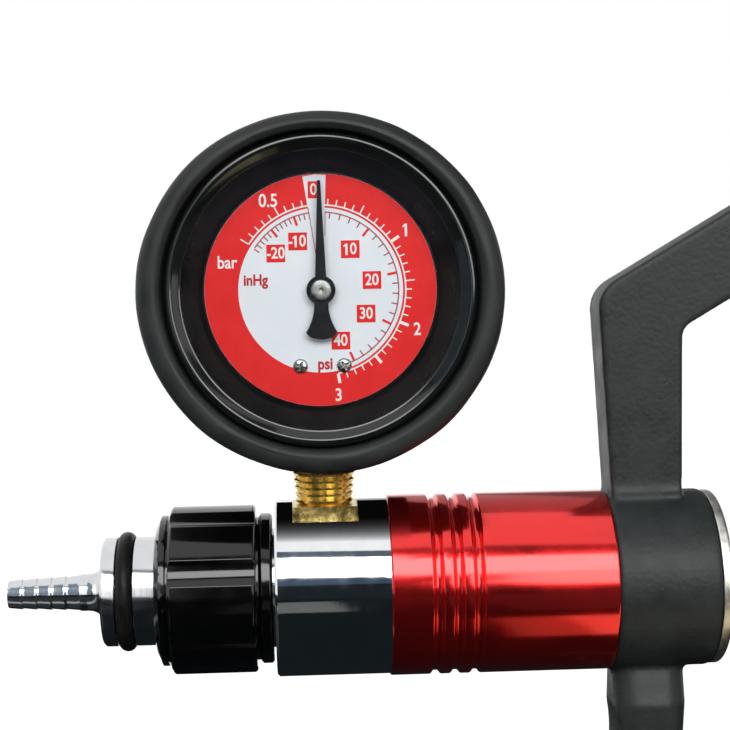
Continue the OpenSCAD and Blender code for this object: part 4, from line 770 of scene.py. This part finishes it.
words("three_bar", "3", BAR_FIGURE, 3.2, -21.5, 1, ink_white)
words("bar_word", "bar", 2.55, -18.9, 5.86, 1, ink_white)
words("inhg_word", "inHg", 2.2, -13.2, 2.19, 1, ink_red, weight=0.1)
words("psi_word", "psi", 2.35, 0.6, -15.08, 1, ink_red, weight=0.1)


# Floor, cards, light and camera

def emission(name, colour, strength):
    finish = bpy.data.materials.new(name)
    finish.use_nodes = True
    tree = finish.node_tree
    tree.nodes.remove(tree.nodes["Principled BSDF"])
    glow = put(tree, "ShaderNodeEmission", {"Color": colour + (1,), "Strength": strength})
    tree.links.new(glow.outputs[0], tree.nodes["Material Output"].inputs["Surface"])
    return finish


def seen_as_background(tree):
    """1 for what the camera or a mirror-like surface sees, 0 for light."""
    path = tree.nodes.new("ShaderNodeLightPath")
    return math_of(tree, "MAXIMUM", path.outputs["Is Camera Ray"], path.outputs["Is Glossy Ray"])


def card(name, low, high, colour, strength=1.0, raised=0.0):
    """Flat glowing card between two corners that only mirror-like surfaces see, a painted reflection.

    Its lower left corner can be raised.
    """
    low, high = Vector(low), Vector(high)
    middle, size = (low + high) / 2, high - low
    quarter = math.radians(90)
    bpy.ops.object.select_all(action="DESELECT")
    bpy.ops.mesh.primitive_plane_add(size=1, location=middle)
    piece = bpy.context.object
    piece.name = name
    if not size.x:
        piece.rotation_euler = (0, quarter, 0)
        piece.scale = (size.z, size.y, 1)
    elif not size.y:
        piece.rotation_euler = (quarter, 0, 0)
        piece.scale = (size.x, size.z, 1)
    else:
        piece.scale = (size.x, size.y, 1)
    put_in_place(piece)
    if raised:
        open_mesh(piece, lambda v: v.co.x < middle.x and v.co.z < middle.z)
        bpy.ops.transform.translate(value=(0, 0, raised))
        close_mesh()
    piece.data.materials.append(emission(name, colour, strength))
    piece.visible_camera = False
    piece.visible_diffuse = False
    piece.visible_transmission = False
    piece.visible_shadow = False
    return piece


def make_floor_finish():
    """Pale floor that shows as white to the camera and to mirror-like surfaces."""
    finish, tree, shader, _ = new_finish("pale_floor", Base_Color=(0.42, 0.42, 0.42, 1), Roughness=0.7)
    strength = math_of(tree, "MULTIPLY", seen_as_background(tree), 0.91)
    glow = put(tree, "ShaderNodeEmission", {"Color": (1, 1, 1, 1), "Strength": strength})
    both = put(tree, "ShaderNodeAddShader", {0: shader.outputs[0], 1: glow.outputs[0]})
    tree.links.new(both.outputs[0], tree.nodes["Material Output"].inputs["Surface"])
    return finish


FLOOR_SIZE, FLOOR_GAP = 8, 0.0001
floor_z = cad_box[0][2] - FLOOR_GAP
bpy.ops.object.select_all(action="DESELECT")
bpy.ops.mesh.primitive_plane_add(size=FLOOR_SIZE, location=(0, 1.5, floor_z))
floor = bpy.context.object
floor.name = "floor"
floor.data.materials.append(make_floor_finish())

# Cards in metres, painted reflections that only mirror-like surfaces see: white and warm glowing cards paint
# highlights, dark, grey and blue cards paint shade round them
WHITE, LAMP_WHITE = (1.0, 1.0, 1.0), (1.0, 0.98, 0.96)
card("painted_dark_below", (-1.2, -0.95, -0.100), (1.6, 0.30, -0.100), (0.008, 0.011, 0.013))
card("painted_warm_glow_edge", (0.100, -0.145, -0.099), (0.122, -0.06, -0.099), (0.40, 0.30, 0.20))
card("painted_warm_glow", (0.122, -0.145, -0.099), (0.36, -0.06, -0.099), (1.0, 0.85, 0.58))
card("dark_camera_side", (-1.2, -0.94, -0.11), (1.6, -0.94, 0.34), (0.012, 0.017, 0.020))
card("painted_lamp_glint_left", (-0.27, -0.93, -0.045), (-0.072, -0.93, 0.36), WHITE, 1.5)
card("blue_left", (-0.80, -0.93, -0.045), (-0.27, -0.93, 0.36), (0.22, 0.30, 0.37))
card("blue_lamp_end", (-0.60, -0.66, 0.06), (-0.17, -0.66, 0.48), (0.17, 0.24, 0.30))
card("blue_near_left", (-0.05, -0.12, 0.03), (-0.05, -0.035, 0.15), (0.20, 0.27, 0.33))
card("painted_lamp_glint_middle", (-0.065, -0.925, 0.23), (0.013, -0.925, 0.36), LAMP_WHITE, 5.0)
card("painted_lamp_glint", (0.115, -0.92, 0.06), (0.24, -0.92, 0.36), LAMP_WHITE, 4.2, raised=0.22)
card("painted_lamp_glint_right", (0.24, -0.92, 0.06), (0.80, -0.92, 0.36), LAMP_WHITE, 4.5)
card("lamp_top_right", (0.115, -0.60, 0.52), (1.2, -0.60, 0.70), (0.06, 0.07, 0.09))
card("cool_card", (-0.03, -0.45, 0.088), (0.14, -0.45, 0.15), (0.045, 0.075, 0.12))
card("painted_grey_glow_left", (-0.40, -0.075, -0.099), (-0.02, -0.04, -0.099), (0.42, 0.44, 0.47))
card("painted_dark_left", (-0.40, -0.30, -0.0995), (-0.02, 0.05, -0.0995), (0.035, 0.038, 0.040))
card("painted_grey_glow", (0.015, -0.59, -0.099), (0.060, -0.24, -0.099), (0.14, 0.145, 0.14))
card("painted_dim_below", (0.115, -0.90, -0.0995), (1.0, -0.20, -0.0995), (0.07, 0.07, 0.07))
card("lamp_top_edge", (-1.2, -0.80, 0.80), (1.6, -0.80, 1.12), (0.10, 0.13, 0.16))
card("dark_overhead", (0.34, -0.50, 0.88), (2.0, 3.0, 0.88), (0.12, 0.12, 0.12))
card("painted_grey_above", (0.04, 0.24, 0.90), (2.4, 3.0, 0.90), (0.42, 0.42, 0.43))

# Painted reflection under the boot that the head mirrors: a glowing card whose lower face fades from the
# boot's front to its middle
SHEEN_FRONT, SHEEN_BACK, SHEEN_GAP = -0.0206, 0.0120, 0.6 * MM
FADE_FRONT, FADE_BACK, FADE_LEAST, FADE_POWER = -0.0200, -0.0070, 0.42, 7.0
head_low, head_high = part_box("pump_head")
sheen_z = boot_low.z - SHEEN_GAP
sheen = card("painted_boot_reflection", (head_low.x, SHEEN_FRONT, sheen_z), (head_high.x, SHEEN_BACK, sheen_z), WHITE)


def fade_below(tree):
    """Dims a card's glow towards its back and puts it out on its upper face."""
    place = tree.nodes.new("ShaderNodeTexCoord").outputs["Object"]
    depth = put(tree, "ShaderNodeSeparateXYZ", {0: place}).outputs[1]
    share = spread(tree, depth, FADE_BACK, FADE_FRONT, FADE_LEAST, 1.0)
    below = tree.nodes.new("ShaderNodeNewGeometry").outputs["Backfacing"]
    strength = math_of(tree, "MULTIPLY", math_of(tree, "POWER", share, FADE_POWER), below)
    tree.links.new(strength, tree.nodes["Emission"].inputs["Strength"])


def make_world():
    """White to the camera and to mirror-like surfaces, and a weak even light for the rest."""
    world = bpy.data.worlds.new("studio")
    world.use_nodes = True
    tree = world.node_tree
    white = tree.nodes["Background"]
    white.inputs["Color"].default_value = (1, 1, 1, 1)
    strength = spread(tree, seen_as_background(tree), 0.0, 1.0, to_low=0.22, to_high=1.0)
    tree.links.new(strength, white.inputs["Strength"])
    return world


def lamp(name, place, turn, wide, high, watts):
    """Area lamp of a size in metres, turned by degrees."""
    bpy.ops.object.select_all(action="DESELECT")
    bpy.ops.object.light_add(type="AREA", location=place, rotation=[math.radians(t) for t in turn])
    light = bpy.context.object
    light.name = name
    light.data.shape = "RECTANGLE"
    light.data.size = wide
    light.data.size_y = high
    light.data.energy = watts
    light.visible_camera = False


fade_below(sheen.data.materials[0].node_tree)
bpy.context.scene.world = make_world()
lamp("left_fill", (-0.75, -0.35, 0.25), (68, 0, -65), 0.5, 0.5, 0.6)
lamp("front_softbox", (0.1, -0.80, 0.53), (57, 0, 0), 1.2, 0.42, 8.0)

CAMERA_PLACE = (0.0433, -0.3347, 0.0595)
CAMERA_TURN = (87.8156, 1.1572, -2.5061)
bpy.ops.object.select_all(action="DESELECT")
bpy.ops.object.camera_add(location=CAMERA_PLACE, rotation=[math.radians(t) for t in CAMERA_TURN])
camera = bpy.context.object
camera.data.sensor_width = 36
camera.data.lens = 78.18
camera.data.clip_start = 0.01
bpy.context.scene.camera = camera
bpy.context.scene.view_settings.view_transform = "Standard"
